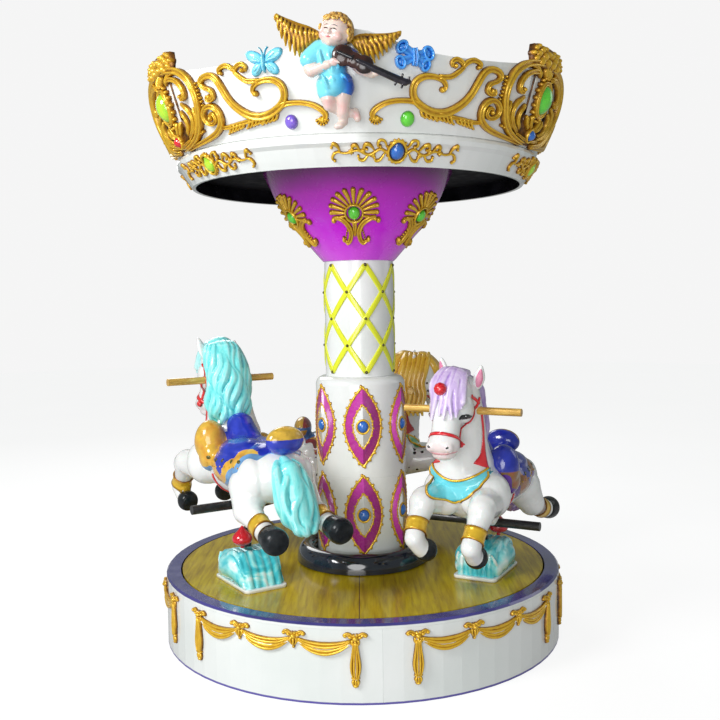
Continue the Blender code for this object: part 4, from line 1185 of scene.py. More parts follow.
def add_limb(bm, start, start_radius, end, end_radius):
    start, end = Vector(start), Vector(end)
    run = end - start
    turn = run.to_track_quat("Z", "Y").to_matrix().to_4x4()
    bmesh.ops.create_cone(
        bm, cap_ends=True, segments=20, radius1=start_radius, radius2=end_radius, depth=run.length,
        matrix=Matrix.Translation((start + end) / 2) @ turn,
    )
    add_ball(bm, start, (start_radius,) * 3)
    add_ball(bm, end, (end_radius,) * 3)


def add_chain(bm, links):
    for (start, start_radius), (end, end_radius) in zip(links, links[1:]):
        add_limb(bm, start, start_radius, end, end_radius)


def add_strand(bm, points, radii, squash=1.0, steps=None, sides=8):
    """A tapering lock of hair or a rope of cloth along a smooth path."""
    steps = steps or 5 * (len(points) - 1)
    path = [Vector(p) for p in spline(points, steps + 1)]
    rows = []
    side = None
    for i, (point, radius) in enumerate(zip(path, map(float, spaced(radii, steps + 1)))):
        run = (path[min(i + 1, steps)] - path[max(i - 1, 0)]).normalized()
        side = run.orthogonal().normalized() if side is None else (side - run * side.dot(run)).normalized()
        other = run.cross(side)
        rows.append([
            bm.verts.new(point + radius * (side * math.cos(t) + other * math.sin(t) * squash))
            for t in (2.0 * math.pi * k / sides for k in range(sides))
        ])
    bridge(rows, bm.faces.new)
    cap(rows, bm.faces.new)


def applied(mesh, *modifiers):
    """The mesh with these modifiers applied, as a smooth skin of the same name."""
    name = mesh.name
    made = add_object(name, mesh)
    for kind, settings in modifiers:
        modifier = made.modifiers.new(kind, kind)
        for key, value in settings.items():
            setattr(modifier, key, value)
    bpy.context.view_layer.update()
    graph = bpy.context.evaluated_depsgraph_get()
    skin = bpy.data.meshes.new_from_object(made.evaluated_get(graph))
    bpy.data.objects.remove(made)
    bpy.data.meshes.remove(mesh)
    skin.name = name
    skin.shade_smooth()
    return skin


def melded(name, bm, fine, smooth):
    """One closed skin over all the forms in bm, as a mesh."""
    bmesh.ops.recalc_face_normals(bm, faces=list(bm.faces))
    steps = [("REMESH", {"mode": "VOXEL", "voxel_size": fine})]
    if smooth:
        steps.append(("SMOOTH", {"iterations": smooth, "factor": 0.5}))
    return applied(mesh_of(name, bm), *steps)


def thinned(mesh, share):
    """The same skin on fewer triangles: most go where it is nearly flat."""
    return applied(mesh, ("DECIMATE", {"ratio": share}))


def points_of(mesh):
    flat = np.empty(len(mesh.vertices) * 3)
    mesh.vertices.foreach_get("co", flat)
    return flat.reshape(-1, 3)


def set_field(mesh, name, values):
    made = mesh.attributes.get(name) or mesh.attributes.new(name, "FLOAT", "POINT")
    made.data.foreach_set("value", np.asarray(values, np.float32))


def tree_of(mesh):
    return BVHTree.FromPolygons([v.co for v in mesh.vertices], [list(p.vertices) for p in mesh.polygons])


def horse_frame(azimuth, lift):
    """Local axes over the deck: X forwards, Y to the outer side, Z up."""
    side = math.radians(azimuth)
    turn = math.radians(azimuth - HORSE_YAW)
    at = (HORSE_RADIUS * math.cos(side), HORSE_RADIUS * math.sin(side), DECK_TOP + lift)
    return axes((math.sin(turn), -math.cos(turn), 0.0), (math.cos(turn), math.sin(turn), 0.0), at=at)


FACE_MIDDLE = -0.011
EAR_DROP = 0.034
HOOF_REACH = 0.060
STRAP_SINK = 0.0012
# Where each hoof starts on its leg, and the middle of its sole
HOOVES = (
    ((0.340, 0.091, 0.150), (0.292, 0.090, 0.132)),
    ((0.364, -0.074, 0.162), (0.322, -0.054, 0.141)),
    ((-0.352, 0.108, 0.158), (-0.432, 0.113, 0.144)),
    ((-0.352, -0.108, 0.158), (-0.432, -0.113, 0.144)),
)


def along_hoof(where, start, heel):
    """The hoof's direction and length, and each point's offset, its distance along it and from its axis."""
    run = np.array(heel) - np.array(start)
    length = np.linalg.norm(run)
    run /= length
    off = where - np.array(start)
    along = off @ run
    return run, length, off, along, np.linalg.norm(off - np.outer(along, run), axis=1)


def flat_hooves(where):
    """Presses each hoof's end flat, to a sole."""
    for start, heel in HOOVES:
        run, length, off, along, wide = along_hoof(where, start, heel)
        past = (along > length - 0.006) & (wide < HOOF_REACH)
        where[past] -= np.outer(along[past] - (length - 0.006), run) * 0.85
        flare = (along > 0.006) & (along < length) & (wide < 0.055)
        where[flare] += (off[flare] - np.outer(along[flare], run)) * 0.06


def body_mesh():
    """Barrel, neck, head and legs in one white skin, with the animal's muscles and face."""
    bm = bmesh.new()
    add_ball(bm, (-0.110, 0.0, 0.300), (0.130, 0.122, 0.092))
    add_ball(bm, (0.020, 0.0, 0.302), (0.140, 0.119, 0.096))
    add_ball(bm, (0.135, 0.0, 0.318), (0.098, 0.120, 0.104))
    add_ball(bm, (-0.198, 0.0, 0.300), (0.092, 0.116, 0.086))
    add_limb(bm, (0.012, -0.042, 0.184), 0.019, (0.012, 0.042, 0.184), 0.019)
    add_limb(bm, (0.012, 0.0, 0.196), 0.030, (0.012, 0.0, 0.230), 0.040)
    for side in SIDES:
        add_ball(bm, (0.163, 0.080 * side, 0.304), (0.068, 0.068, 0.078))
        add_ball(bm, (0.214, 0.052 * side, 0.286), (0.042, 0.050, 0.050))
        add_ball(bm, (-0.190, 0.084 * side, 0.296), (0.070, 0.044, 0.072))
        add_ball(bm, (0.262, FACE_MIDDLE + 0.046 * side, 0.590), (0.040, 0.026, 0.046))
        add_ball(bm, (0.288, FACE_MIDDLE + 0.042 * side, 0.604), (0.030, 0.020, 0.016))
        add_ball(bm, (0.360, FACE_MIDDLE + 0.028 * side, 0.482), (0.018, 0.018, 0.017))
    add_ball(bm, (0.160, -0.016, 0.366), (0.078, 0.112, 0.070))
    add_chain(bm, [
        ((0.142, -0.012, 0.385), 0.098), ((0.162, -0.012, 0.460), 0.082),
        ((0.178, 0.0, 0.560), 0.064), ((0.205, 0.0, 0.640), 0.058),
    ])
    add_ball(bm, (0.250, -0.018, 0.640), (0.062, 0.070, 0.066))
    add_chain(bm, [((0.262, -0.012, 0.622), 0.060), ((0.305, -0.011, 0.545), 0.045), ((0.326, -0.010, 0.492), 0.044)])
    add_ball(bm, (0.330, -0.010, 0.489), (0.048, 0.052, 0.042))
    add_ball(bm, (0.330, -0.010, 0.458), (0.036, 0.038, 0.022))
    add_chain(bm, [
        ((0.160, 0.074, 0.286), 0.060), ((0.285, 0.100, 0.288), 0.045), ((0.345, 0.096, 0.222), 0.030),
        ((0.374, 0.093, 0.184), 0.032), ((0.345, 0.091, 0.152), 0.028), ((0.318, 0.090, 0.141), 0.035),
    ])
    add_chain(bm, [
        ((0.160, -0.074, 0.286), 0.060), ((0.290, -0.094, 0.298), 0.045), ((0.352, -0.095, 0.236), 0.030),
        ((0.384, -0.088, 0.196), 0.032), ((0.368, -0.076, 0.166), 0.028), ((0.346, -0.066, 0.153), 0.035),
    ])
    add_ball(bm, (0.300, 0.100, 0.280), (0.046, 0.044, 0.046))
    add_ball(bm, (0.306, -0.094, 0.290), (0.046, 0.044, 0.046))
    for side in SIDES:
        add_chain(bm, [
            ((-0.172, 0.078 * side, 0.272), 0.068), ((-0.207, 0.104 * side, 0.207), 0.047),
            ((-0.280, 0.105 * side, 0.178), 0.030), ((-0.335, 0.107 * side, 0.160), 0.032),
            ((-0.402, 0.111 * side, 0.150), 0.040),
        ])
        add_ball(bm, (-0.262, 0.106 * side, 0.196), (0.034, 0.030, 0.028))
    skin = melded("horse_body", bm, 0.0040, 5)
    where = points_of(skin)
    flat_hooves(where)
    skin.vertices.foreach_set("co", where.ravel())
    hoof = np.full(len(where), -1.0)
    for start, heel in HOOVES:
        _, _, _, along, wide = along_hoof(where, start, heel)
        hoof = np.maximum(hoof, np.where(wide < HOOF_REACH, np.clip(along, -0.05, 0.02), -0.05))
    set_field(skin, "hoof", hoof * 10.0 + 0.5)
    muzzle = np.linalg.norm((where - np.array((0.352, FACE_MIDDLE, 0.468))) / np.array((0.060, 0.070, 0.036)), axis=1)
    set_field(skin, "pink", np.clip(1.25 - muzzle, 0.0, 1.0))
    return thinned(skin, 0.24)


def mane_mesh(name, spread=1.0, crown=0.678, shift=0.0, inner=0):
    """The long mane over the back of the neck, in wavy carved locks, with some more down the inner side if asked."""
    bm = bmesh.new()
    add_chain(bm, [
        ((0.194, 0.0, crown), 0.044), ((0.164, 0.0, 0.632), 0.053), ((0.144, 0.0, 0.565), 0.058 * spread),
        ((0.134, 0.0, 0.505), 0.058 * spread),
    ])
    add_ball(bm, (0.152, 0.0, 0.590), (0.058, 0.064 * spread, 0.088))
    add_ball(bm, (0.182, 0.002, crown), (0.044, 0.054, 0.046))
    locks = 13
    for i in range(locks):
        side = -1.0 + 2.0 * i / (locks - 1)
        turn = math.radians(96.0 * side)
        points = []
        for k, (x, z, reach) in enumerate((
            (
                0.200, crown + 0.030 - 0.014 * side * side, 0.024,
            ), (0.174, crown + 0.010 - 0.006 * side * side, 0.050), (0.152, 0.640, 0.060), (0.140, 0.596, 0.066),
            (0.134, 0.548, 0.067), (0.130, 0.502, 0.066), (0.128, 0.468, 0.060), (0.126, 0.446, 0.052),
        )):
            wave = 0.26 * math.sin(1.75 * k + 0.9 * i)
            t = spread * (turn + wave * min(1.0, k / 2.0))
            swell = reach * (1.0 + 0.09 * math.sin(1.75 * k + 0.9 * i + 1.6))
            points.append((x - swell * math.cos(t), swell * math.sin(t), z + 0.010 * math.cos(3.1 * i) * k / 7.0))
        add_strand(bm, points, [0.010, 0.015, 0.017, 0.018, 0.018, 0.017, 0.015, 0.007], 0.85, 28)
    for i in range(inner):
        x = 0.168 + 0.018 * i
        add_strand(bm, [
            (x + 0.020, -0.020, 0.716), (x + 0.014, -0.056, 0.694), (x + 0.004, -0.078, 0.650),
            (x - 0.010, -0.084, 0.600),
            (x - 0.002, -0.090, 0.552), (x - 0.012, -0.094, 0.505), (x - 0.006, -0.096, 0.470),
        ], [0.012, 0.016, 0.018, 0.018, 0.016, 0.013, 0.005], 0.8, 24)
    bmesh.ops.translate(bm, verts=list(bm.verts), vec=(0.0, shift, 0.0))
    return hair_skin(name, bm)


def hair_skin(name, bm):
    return carved_field(melded(name, bm, 0.0026, 1), 0.0016)


def forelock_mesh(body):
    """Locks combed down over the forehead."""
    bm = bmesh.new()
    tree = tree_of(body)
    for i, (start, middle, end) in enumerate((
        (-0.020, -0.052, -0.060), (-0.018, -0.040, -0.052), (-0.010, -0.028, -0.040), (-0.004, -0.016, -0.020),
        (0.000, -0.004, -0.004), (0.006, 0.008, 0.010), (0.010, 0.020, 0.024), (0.016, 0.032, 0.038),
        (0.020, 0.042, 0.050), (0.022, 0.050, 0.056),
    )):
        reach = (0.584, 0.566, 0.556, 0.568, 0.554, 0.562, 0.570, 0.578, 0.592, 0.612)[i]
        points = []
        for k, (x, y, z) in enumerate((
            (0.190, 0.4 * start, 0.712), (0.218, start, 0.712), (0.262, 0.5 * (start + middle), 0.702),
            (0.296, middle, 0.668), (0.318, 0.5 * (middle + end), 0.630), (0.326, end, reach),
        )):
            sway = 0.0045 * math.sin(1.7 * k + 2.1 * i)
            spot, normal, _, _ = tree.find_nearest(Vector((x, y + sway, z)))
            points.append(spot + normal * 0.0060)
        add_strand(bm, points, [0.012, 0.016, 0.017, 0.016, 0.013, 0.005], 0.8, 18)
    return hair_skin("horse_forelock", bm)


def tail_mesh():
    """A thick tail in twisting locks that curls in at its end."""
    bm = bmesh.new()
    line = (
        (-0.252, 0.352, 0.026), (-0.282, 0.326, 0.044), (-0.298, 0.280, 0.052), (-0.306, 0.236, 0.055),
        (-0.322, 0.192, 0.050), (-0.342, 0.166, 0.038),
    )
    add_chain(bm, [((x, -0.004 * k, z), 0.80 * r) for k, (x, z, r) in enumerate(line)])
    for i in range(11):
        turn = 2.0 * math.pi * i / 11.0
        points = []
        for k, (x, z, reach) in enumerate(line):
            t = turn + 0.30 * math.sin(1.5 * k + 1.9 * i) + 0.12 * k
            points.append(
                (
                    x + 0.80 * reach * math.sin(t) * 0.75, -0.004 * k + reach * math.cos(t),
                    z + 0.40 * reach * math.sin(t),
                )
            )
        points.append(
            (-0.356 - 0.010 * math.sin(turn), -0.020 + 0.020 * math.cos(turn), 0.150 + 0.012 * math.sin(turn))
        )
        add_strand(bm, points, [0.012, 0.017, 0.019, 0.020, 0.019, 0.016, 0.008], 0.85)
    return hair_skin("horse_tail", bm)


def ribbon(tree, path, widths, height, across=4, steps=None):
    """A strap that hugs the surface under its path. Its thickness is height."""
    steps = steps or 8 * (len(path) - 1)
    line = [Vector(p) for p in spline(path, steps + 1)]
    bm = bmesh.new()
    relief_shading = bm.verts.layers.float.new("relief_shading")
    upper, lower = [], []
    seats = [tree.find_nearest(point)[:2] for point in line]
    normals = [normal for _, normal in seats]
    for _ in range(6):
        normals = [
            (
                normals[max(i - 1, 0)] + normals[i] * 2.0 + normals[min(i + 1, steps)]
            ).normalized() for i in range(steps + 1)
        ]
    for i, width in enumerate(map(float, spaced(widths, steps + 1))):
        run = (line[min(i + 1, steps)] - line[max(i - 1, 0)]).normalized()
        spot, normal = seats[i][0], normals[i]
        side = normal.cross(run).normalized()
        top, foot = [], []
        for j in range(across + 1):
            off = 2.0 * j / across - 1.0
            near, up, _, _ = tree.find_nearest(spot + side * off * width / 2 + normal * 0.004)
            up = (up + normal).normalized()
            a = bm.verts.new(near + up * height * (1.0 - 0.35 * abs(off) ** 3))
            # Shading field, lower towards the strap's sides: painted shade along its edges, a painted highlight along
            # its middle.
            a[relief_shading] = 1.0 - 0.55 * abs(off) ** 3
            b = bm.verts.new(near - up * STRAP_SINK)
            b[relief_shading] = 0.0
            top.append(a)
            foot.append(b)
        upper.append(top)
        lower.append(foot)
    for a, b, c, d in zip(upper, upper[1:], lower, lower[1:]):
        for j in range(across):
            bm.faces.new((a[j], b[j], b[j + 1], a[j + 1]))
        bm.faces.new((a[0], c[0], d[0], b[0]))
        bm.faces.new((a[-1], b[-1], d[-1], c[-1]))
    for top, foot in ((upper[0], lower[0]), (upper[-1], lower[-1])):
        for j in range(across):
            bm.faces.new((top[j], top[j + 1], foot[j + 1], foot[j]))
    return bm


def sleeve(tree, start, end, height, rings=5, sides=28, lip=0.0, limit=0.075):
    """A band round a limb, its section taken from the limb itself."""
    start, end = Vector(start), Vector(end)
    run = (end - start).normalized()
    side = run.orthogonal().normalized()
    other = run.cross(side)
    bm = bmesh.new()
    relief_shading = bm.verts.layers.float.new("relief_shading")
    rows = []
    for i in range(-1, rings + 1):
        t = min(1.0, max(0.0, i / (rings - 1)))
        centre = start.lerp(end, t)
        edge = i in (-1, rings)
        row = []
        for k in range(sides):
            turn = 2.0 * math.pi * k / sides
            out = side * math.cos(turn) + other * math.sin(turn)
            hit, _, _, far = tree.ray_cast(centre + out * limit, -out)
            reach = limit - far if hit is not None and far < limit else 0.03
            bulge = lip if i in (0, rings - 1) else 0.0
            rise = -0.001 if edge else height + bulge
            v = bm.verts.new(centre + out * (reach + rise))
            # Shading field, low at the band's edges and lips: painted shade there, a painted highlight on the middle
            # rows.
            v[relief_shading] = 0.0 if edge else (0.45 if i in (0, rings - 1) else 1.0)
            row.append(v)
        rows.append(row)
    for a, b in zip(rows, rows[1:]):
        for k in range(sides):
            m = (k + 1) % sides
            bm.faces.new((a[k], b[k], b[m], a[m]))
    return bm


def boss(tree, at, wide, tall, height, turn=0.0):
    """A small dome that sits square on the surface."""
    spot, normal, _, _ = tree.find_nearest(Vector(at))
    made = Relief()
    made.dome(0.0, 0.0, wide, tall, height, turn, sides=18, rings=6)
    across = Vector((0.0, 0.0, 1.0)).cross(normal).normalized()
    made.bm.transform(axes(across, normal.cross(across), normal, spot))
    return made.bm


def mirror_face(point):
    """The same point on the other side of the head."""
    return (point[0], 2.0 * FACE_MIDDLE - point[1], point[2])


def ear_forms(drop, hollow):
    """Both ears, pricked, or the pink hollows in front of them. The inner ear sits lower by drop."""
    bm = bmesh.new()
    for base, tip, out in (
        ((0.208, 0.056, 0.656), (0.224, 0.074, 0.722), 1.0),
        ((0.212, -0.050, 0.680 - drop), (0.222, -0.060, 0.744 - drop), -1.0),
    ):
        base, tip = Vector(base), Vector(tip)
        run = (tip - base).normalized()
        front = Vector((0.80, 0.42 * out, -0.10))
        front = (front - run * front.dot(run)).normalized()
        long = (tip - base).length * 0.60
        size = (0.0190 * 0.62, 0.0050, long * 0.76) if hollow else (0.0190, 0.0100, long)
        at = base.lerp(tip, 0.48) + front * (0.0078 if hollow else 0.0)
        ear = bmesh.new()
        bmesh.ops.create_uvsphere(ear, u_segments=20, v_segments=14, radius=1.0)
        for v in ear.verts:
            v.co.x *= 1.0 - 0.42 * max(0.0, v.co.z)
        ear.transform(axes(run.cross(front), front, run, at) @ Matrix.Diagonal((*size, 1.0)))
        mesh = mesh_of("ear", ear)
        bm.from_mesh(mesh)
        bpy.data.meshes.remove(mesh)
    return bm


def saddle_mesh(body):
    """Seat, pommel, cantle, knee rolls and cloth, with fields that say how far each point is from its edge."""
    bm = bmesh.new()
    add_ball(bm, (-0.065, 0.0, 0.318), (0.185, 0.142, 0.090))
    add_ball(bm, (-0.150, 0.0, 0.322), (0.110, 0.130, 0.082))
    add_chain(bm, [((-0.010, 0.0, 0.380), 0.050), ((0.035, 0.0, 0.400), 0.055), ((0.056, 0.0, 0.432), 0.047)])
    add_ball(bm, (-0.238, -0.014, 0.416), (0.036, 0.066, 0.046))
    add_ball(bm, (-0.072, 0.050, 0.366), (0.104, 0.076, 0.048))
    add_ball(bm, (0.083, 0.098, 0.384), (0.052, 0.054, 0.074))
    add_ball(bm, (0.060, 0.112, 0.340), (0.050, 0.034, 0.050))
    add_ball(bm, (0.085, -0.088, 0.352), (0.045, 0.050, 0.048))
    skin = melded("horse_saddle", bm, 0.0040, 4)
    where = points_of(skin)
    tree = tree_of(body)
    deep = np.empty(len(where))
    for i, point in enumerate(where):
        near, normal, _, _ = tree.find_nearest(point)
        deep[i] = (Vector(point) - near).dot(normal)
    ends = np.empty(len(skin.edges) * 2, np.int32)
    skin.edges.foreach_get("vertices", ends)
    ends = ends.reshape(-1, 2)
    ends = ends[(deep[ends[:, 0]] > 0.0) != (deep[ends[:, 1]] > 0.0)]
    share = (deep[ends[:, 0]] / (deep[ends[:, 0]] - deep[ends[:, 1]]))[:, None]
    rim = where[ends[:, 0]] * (1.0 - share) + where[ends[:, 1]] * share
    rim = rim[(rim[:, 0] < 0.02) | (rim[:, 2] < 0.350)]
    edge = KDTree(len(rim))
    for i, point in enumerate(rim):
        edge.insert(point, i)
    edge.balance()
    far = np.array([edge.find(point)[2] for point in where])
    far[deep < 0.0] *= -1.0
    x, z = where[:, 0], where[:, 2]
    side = np.abs(where[:, 1])
    low = (x > -0.005) & (side > 0.08)
    far = np.where(low, np.minimum(far, z - 0.288 - 0.25 * np.maximum(x - 0.06, 0.0)), far)
    band = 0.047 + 0.005 * np.sin(x * 46.0 + 1.0) + 0.036 * np.exp(-(((x - 0.018) / 0.046) ** 2))
    seat = (far - band) * 90.0
    rear = np.minimum((-0.150 - x) / 0.006, np.minimum((0.064 - side) / 0.004, (far - 0.014) / 0.004))
    pommel = np.minimum(np.minimum((0.062 - side) / 0.004, (z - 0.372) / 0.004), (far - 0.004) / 0.002)
    seat = np.maximum(seat, np.maximum(rear, pommel))
    sweep = 0.338 - 1.1 * np.maximum(0.0, -0.040 - x)
    seat = np.where(side > 0.080, np.minimum(seat, (z - sweep) / 0.004), seat)
    roll = np.minimum((x - 0.026) / 0.004, (side - 0.056) / 0.004)
    seat = np.where(roll > -1.0, np.minimum(seat, -roll), seat)
    hind = np.minimum((-0.202 - x) / 0.004, (z - 0.422) / 0.004)
    facing = np.array([v.normal.x for v in skin.vertices])
    for name, values in (
        ("edge", far * 10.0), ("seat", seat + 0.5), ("cantle", np.minimum(hind, (0.30 - facing) * 4.0) + 0.5),
        ("cantle_front", np.minimum(hind, (facing - 0.30) * 4.0) + 0.5),
    ):
        set_field(skin, name, np.clip(values, 0.0, 1.0))
    return thinned(skin, 0.42)


SCHEMES = (
    {
        "mane": ((0.05, 0.52, 0.58), (0.22, 0.84, 0.82), (0.58, 0.94, 0.92)), "strap": (0.62, 0.02, 0.02),
        "seat": (0.012, 0.028, 0.36), "band": ((0.78, 0.46, 0.05), (0.72, 0.26, 0.03)), "border": (0.16, 0.36, 0.66),
        "roll": (0.80, 0.50, 0.06), "collar": (0.09, 0.62, 0.72), "spots": 0.0, "dark_flank": False, "forelock": (
            (0.10, 0.52, 0.62), (0.34, 0.78, 0.80), (0.72, 0.92, 0.90),
        ),
    },
    {
        "mane": ((0.12, 0.04, 0.34), (0.42, 0.26, 0.66), (0.78, 0.68, 0.88)), "strap": (0.66, 0.01, 0.02),
        "seat": (0.010, 0.022, 0.30), "band": ((0.26, 0.12, 0.03), (0.46, 0.10, 0.04)), "border": (0.13, 0.02, 0.38),
        "roll": (0.30, 0.16, 0.03), "collar": (0.09, 0.62, 0.72), "spots": 0.0, "dark_flank": True, "forelock": (
            (0.40, 0.24, 0.66), (0.66, 0.50, 0.82), (0.86, 0.80, 0.92),
        ),
    },
    {
        "mane": ((0.42, 0.17, 0.01), (0.78, 0.44, 0.03), (0.92, 0.68, 0.12)), "strap": (0.40, 0.01, 0.01),
        "seat": (0.05, 0.12, 0.30), "band": ((0.55, 0.30, 0.05), (0.40, 0.08, 0.03)), "border": (0.35, 0.05, 0.06),
        "roll": (0.60, 0.36, 0.06), "collar": (0.10, 0.42, 0.16), "spots": 1.0, "dark_flank": False, "forelock": (
            (0.42, 0.17, 0.01), (0.78, 0.44, 0.03), (0.92, 0.68, 0.12),
        ),
    },
)


def shade(colour, share, extra=0.0):
    return tuple(min(1.0, share * c + extra) for c in colour)


def body_paint(name, spots):
    """White gelcoat with black hooves and a flushed muzzle. One horse is spotted."""
    made = Shader(name, 0.2, 0.0, 0.6, 0.06, 0.05)
    white = made.tone(7.0, 4.0, (0.80, 0.81, 0.80), (0.90, 0.90, 0.89))
    if spots:
        warp = made.math("MULTIPLY_ADD", made.noise(22.0), 0.14, made.cells(26.0))
        white = made.mix(made.span(warp, 0.225, 0.245), (0.015, 0.015, 0.014), white)
        white = made.mix(made.span(made.noise(5.5, 2.0), 0.640, 0.655), white, (0.42, 0.55, 0.05))
    flush = made.mix(made.math("MULTIPLY", made.field("pink"), 0.40), white, (0.86, 0.42, 0.44))
    dark = made.tone(24.0, 4.0, (0.006, 0.008, 0.010), (0.030, 0.034, 0.038), 0.35, 0.70)
    black = made.span(made.field("hoof"), 0.500, 0.512)
    made.feed("Specular IOR Level", made.math("MULTIPLY_ADD", black, -0.36, 0.5))
    made.feed("Coat Weight", made.math("MULTIPLY_ADD", black, -0.40, 0.5))
    return made.finished(made.mix(black, flush, dark), (26.0, 0.15, 0.30), (60.0, 3.0, 0.10, 0.0008))


def hair_paint(name, tones):
    """Streaked hair paint, with painted shade deep in the grooves and a painted highlight pale on the locks."""
    made = Shader(name, 0.26, 0.0, 0.5, 0.08)
    streak = made.noise(1.0, 4.0, made.mapped((46.0, 46.0, 9.0)), 0.55, 0.4)
    level = made.stirred(made.field("relief_shading"), 0.75, streak)
    made.feed("Base Color", made.ramp(level, list(zip((0.10, 0.48, 0.92), tones))))
    made.glossed(streak, 0.20, 0.36)
    made.bump(made.noise(1.0, 4.0, made.mapped((220.0, 220.0, 30.0))), 0.3, 0.001)
    return made.material


def saddle_paint(name, scheme):
    made = Shader(name, 0.2, 0.0, 0.65, 0.06)
    seat = made.tone(30.0, 3.0, scheme["seat"], shade(scheme["seat"], 1.5, 0.01), 0.3, 0.7)
    band = made.ramp(made.noise(20.0, 3.0, None, 0.5, 0.6), list(zip((0.42, 0.60), scheme["band"])))
    rough_gold = made.tone(34.0, 4.0, shade(scheme["roll"], 0.55), scheme["roll"], 0.3, 0.6)
    border = made.tone(26.0, 3.0, shade(scheme["border"], 0.6), scheme["border"])
    edge = made.field("edge")
    flank = made.mix(made.span(edge, 0.235, 0.245), rough_gold, made.mix(0.5, band, rough_gold))
    if scheme["dark_flank"]:
        flank = made.mix(made.span(made.axis("Z"), 0.372, 0.376), flank, seat)
    cloth = made.mix(made.span(edge, 0.195, 0.205), border, flank)
    top = made.mix(made.span(made.field("seat"), 0.47, 0.53), cloth, seat)
    top = made.mix(made.span(made.field("cantle_front"), 0.45, 0.55), top, seat if scheme["dark_flank"] else border)
    made.feed("Base Color", made.mix(made.span(made.field("cantle"), 0.45, 0.55), top, rough_gold))
    made.glossed(made.noise(34.0), 0.14, 0.28)
    made.bump(made.math("MULTIPLY_ADD", made.noise(28.0), 0.7, made.noise(110.0, 2.0)), 0.22, 0.0016)
    return made.material


# The outer side's eye, and the collar's edges as (across, up)
EYE_PATH = ((0.312, 0.0335, 0.5640), (0.300, 0.038, 0.5700), (0.284, 0.043, 0.5735), (0.268, 0.047, 0.5730))
COLLAR_TOP = (
    (-0.118, 0.408), (-0.090, 0.384), (-0.052, 0.364), (-0.014, 0.356), (0.026, 0.364), (0.064, 0.382), (0.094, 0.404)
)
COLLAR_FOOT = (
    (-0.120, 0.400), (-0.100, 0.362), (-0.060, 0.314), (-0.014, 0.286), (0.032, 0.304), (0.072, 0.344), (0.099, 0.394)
)
COLLAR_STEPS = 48
COLLAR_DEPTH = 12


def bib(tree):
    """The painted collar across the chest, laid on from the front, and the lines of its two edges."""
    bm = bmesh.new()
    relief_shading = bm.verts.layers.float.new("relief_shading")
    rows, flat = [], []
    for i, (top, foot) in enumerate(zip(spline(COLLAR_TOP, COLLAR_STEPS + 1), spline(COLLAR_FOOT, COLLAR_STEPS + 1))):
        row = []
        for k in range(COLLAR_DEPTH + 1):
            y, z = top + (foot - top) * (k / COLLAR_DEPTH)
            spot, normal, _, _ = tree.ray_cast(Vector((0.45, y, z)), Vector((-1.0, 0.0, 0.0)), 0.45)
            if spot is None:
                spot, normal, _, _ = tree.find_nearest(Vector((0.20, y, z)))
            rim = k in (0, COLLAR_DEPTH) or i in (0, COLLAR_STEPS)
            vert = bm.verts.new(spot + normal * (-0.0015 if rim else 0.0036))
            # Shading field, lower on the rows next to the collar's edges: painted shade along them.
            vert[relief_shading] = 0.45 if k in (1, COLLAR_DEPTH - 1) else 0.85
            flat.append(vert)
            row.append(spot)
        rows.append(row)
    wide = COLLAR_DEPTH + 1
    for i in range(COLLAR_STEPS):
        for k in range(COLLAR_DEPTH):
            a = wide * i + k
            bm.faces.new((flat[a], flat[a + 1], flat[a + wide + 1], flat[a + wide]))
    return bm, [[tuple(row[k]) for row in rows[::4]] for k in (0, COLLAR_DEPTH)]


def pompom(tree, at, size):
    """A round tuft of red wool on the forehead."""
    spot, normal, _, _ = tree.find_nearest(Vector(at))
    bm = bmesh.new()
    relief_shading = bm.verts.layers.float.new("relief_shading")
    made = bmesh.ops.create_icosphere(bm, subdivisions=4, radius=size)
    for vert in made["verts"]:
        run = vert.co.normalized()
        petal = 0.5 + 0.5 * math.cos(9.0 * math.atan2(run.y, run.z) + 7.0 * run.x) * math.sin(6.0 * run.x + 1.0)
        vert.co = run * size * (0.94 + 0.10 * petal)
        # Shading field from the petals: painted shade between the tufts, a painted highlight on them.
        vert[relief_shading] = 0.35 + 0.6 * petal
    bmesh.ops.translate(bm, verts=list(bm.verts), vec=spot + normal * 0.020)
    return bm


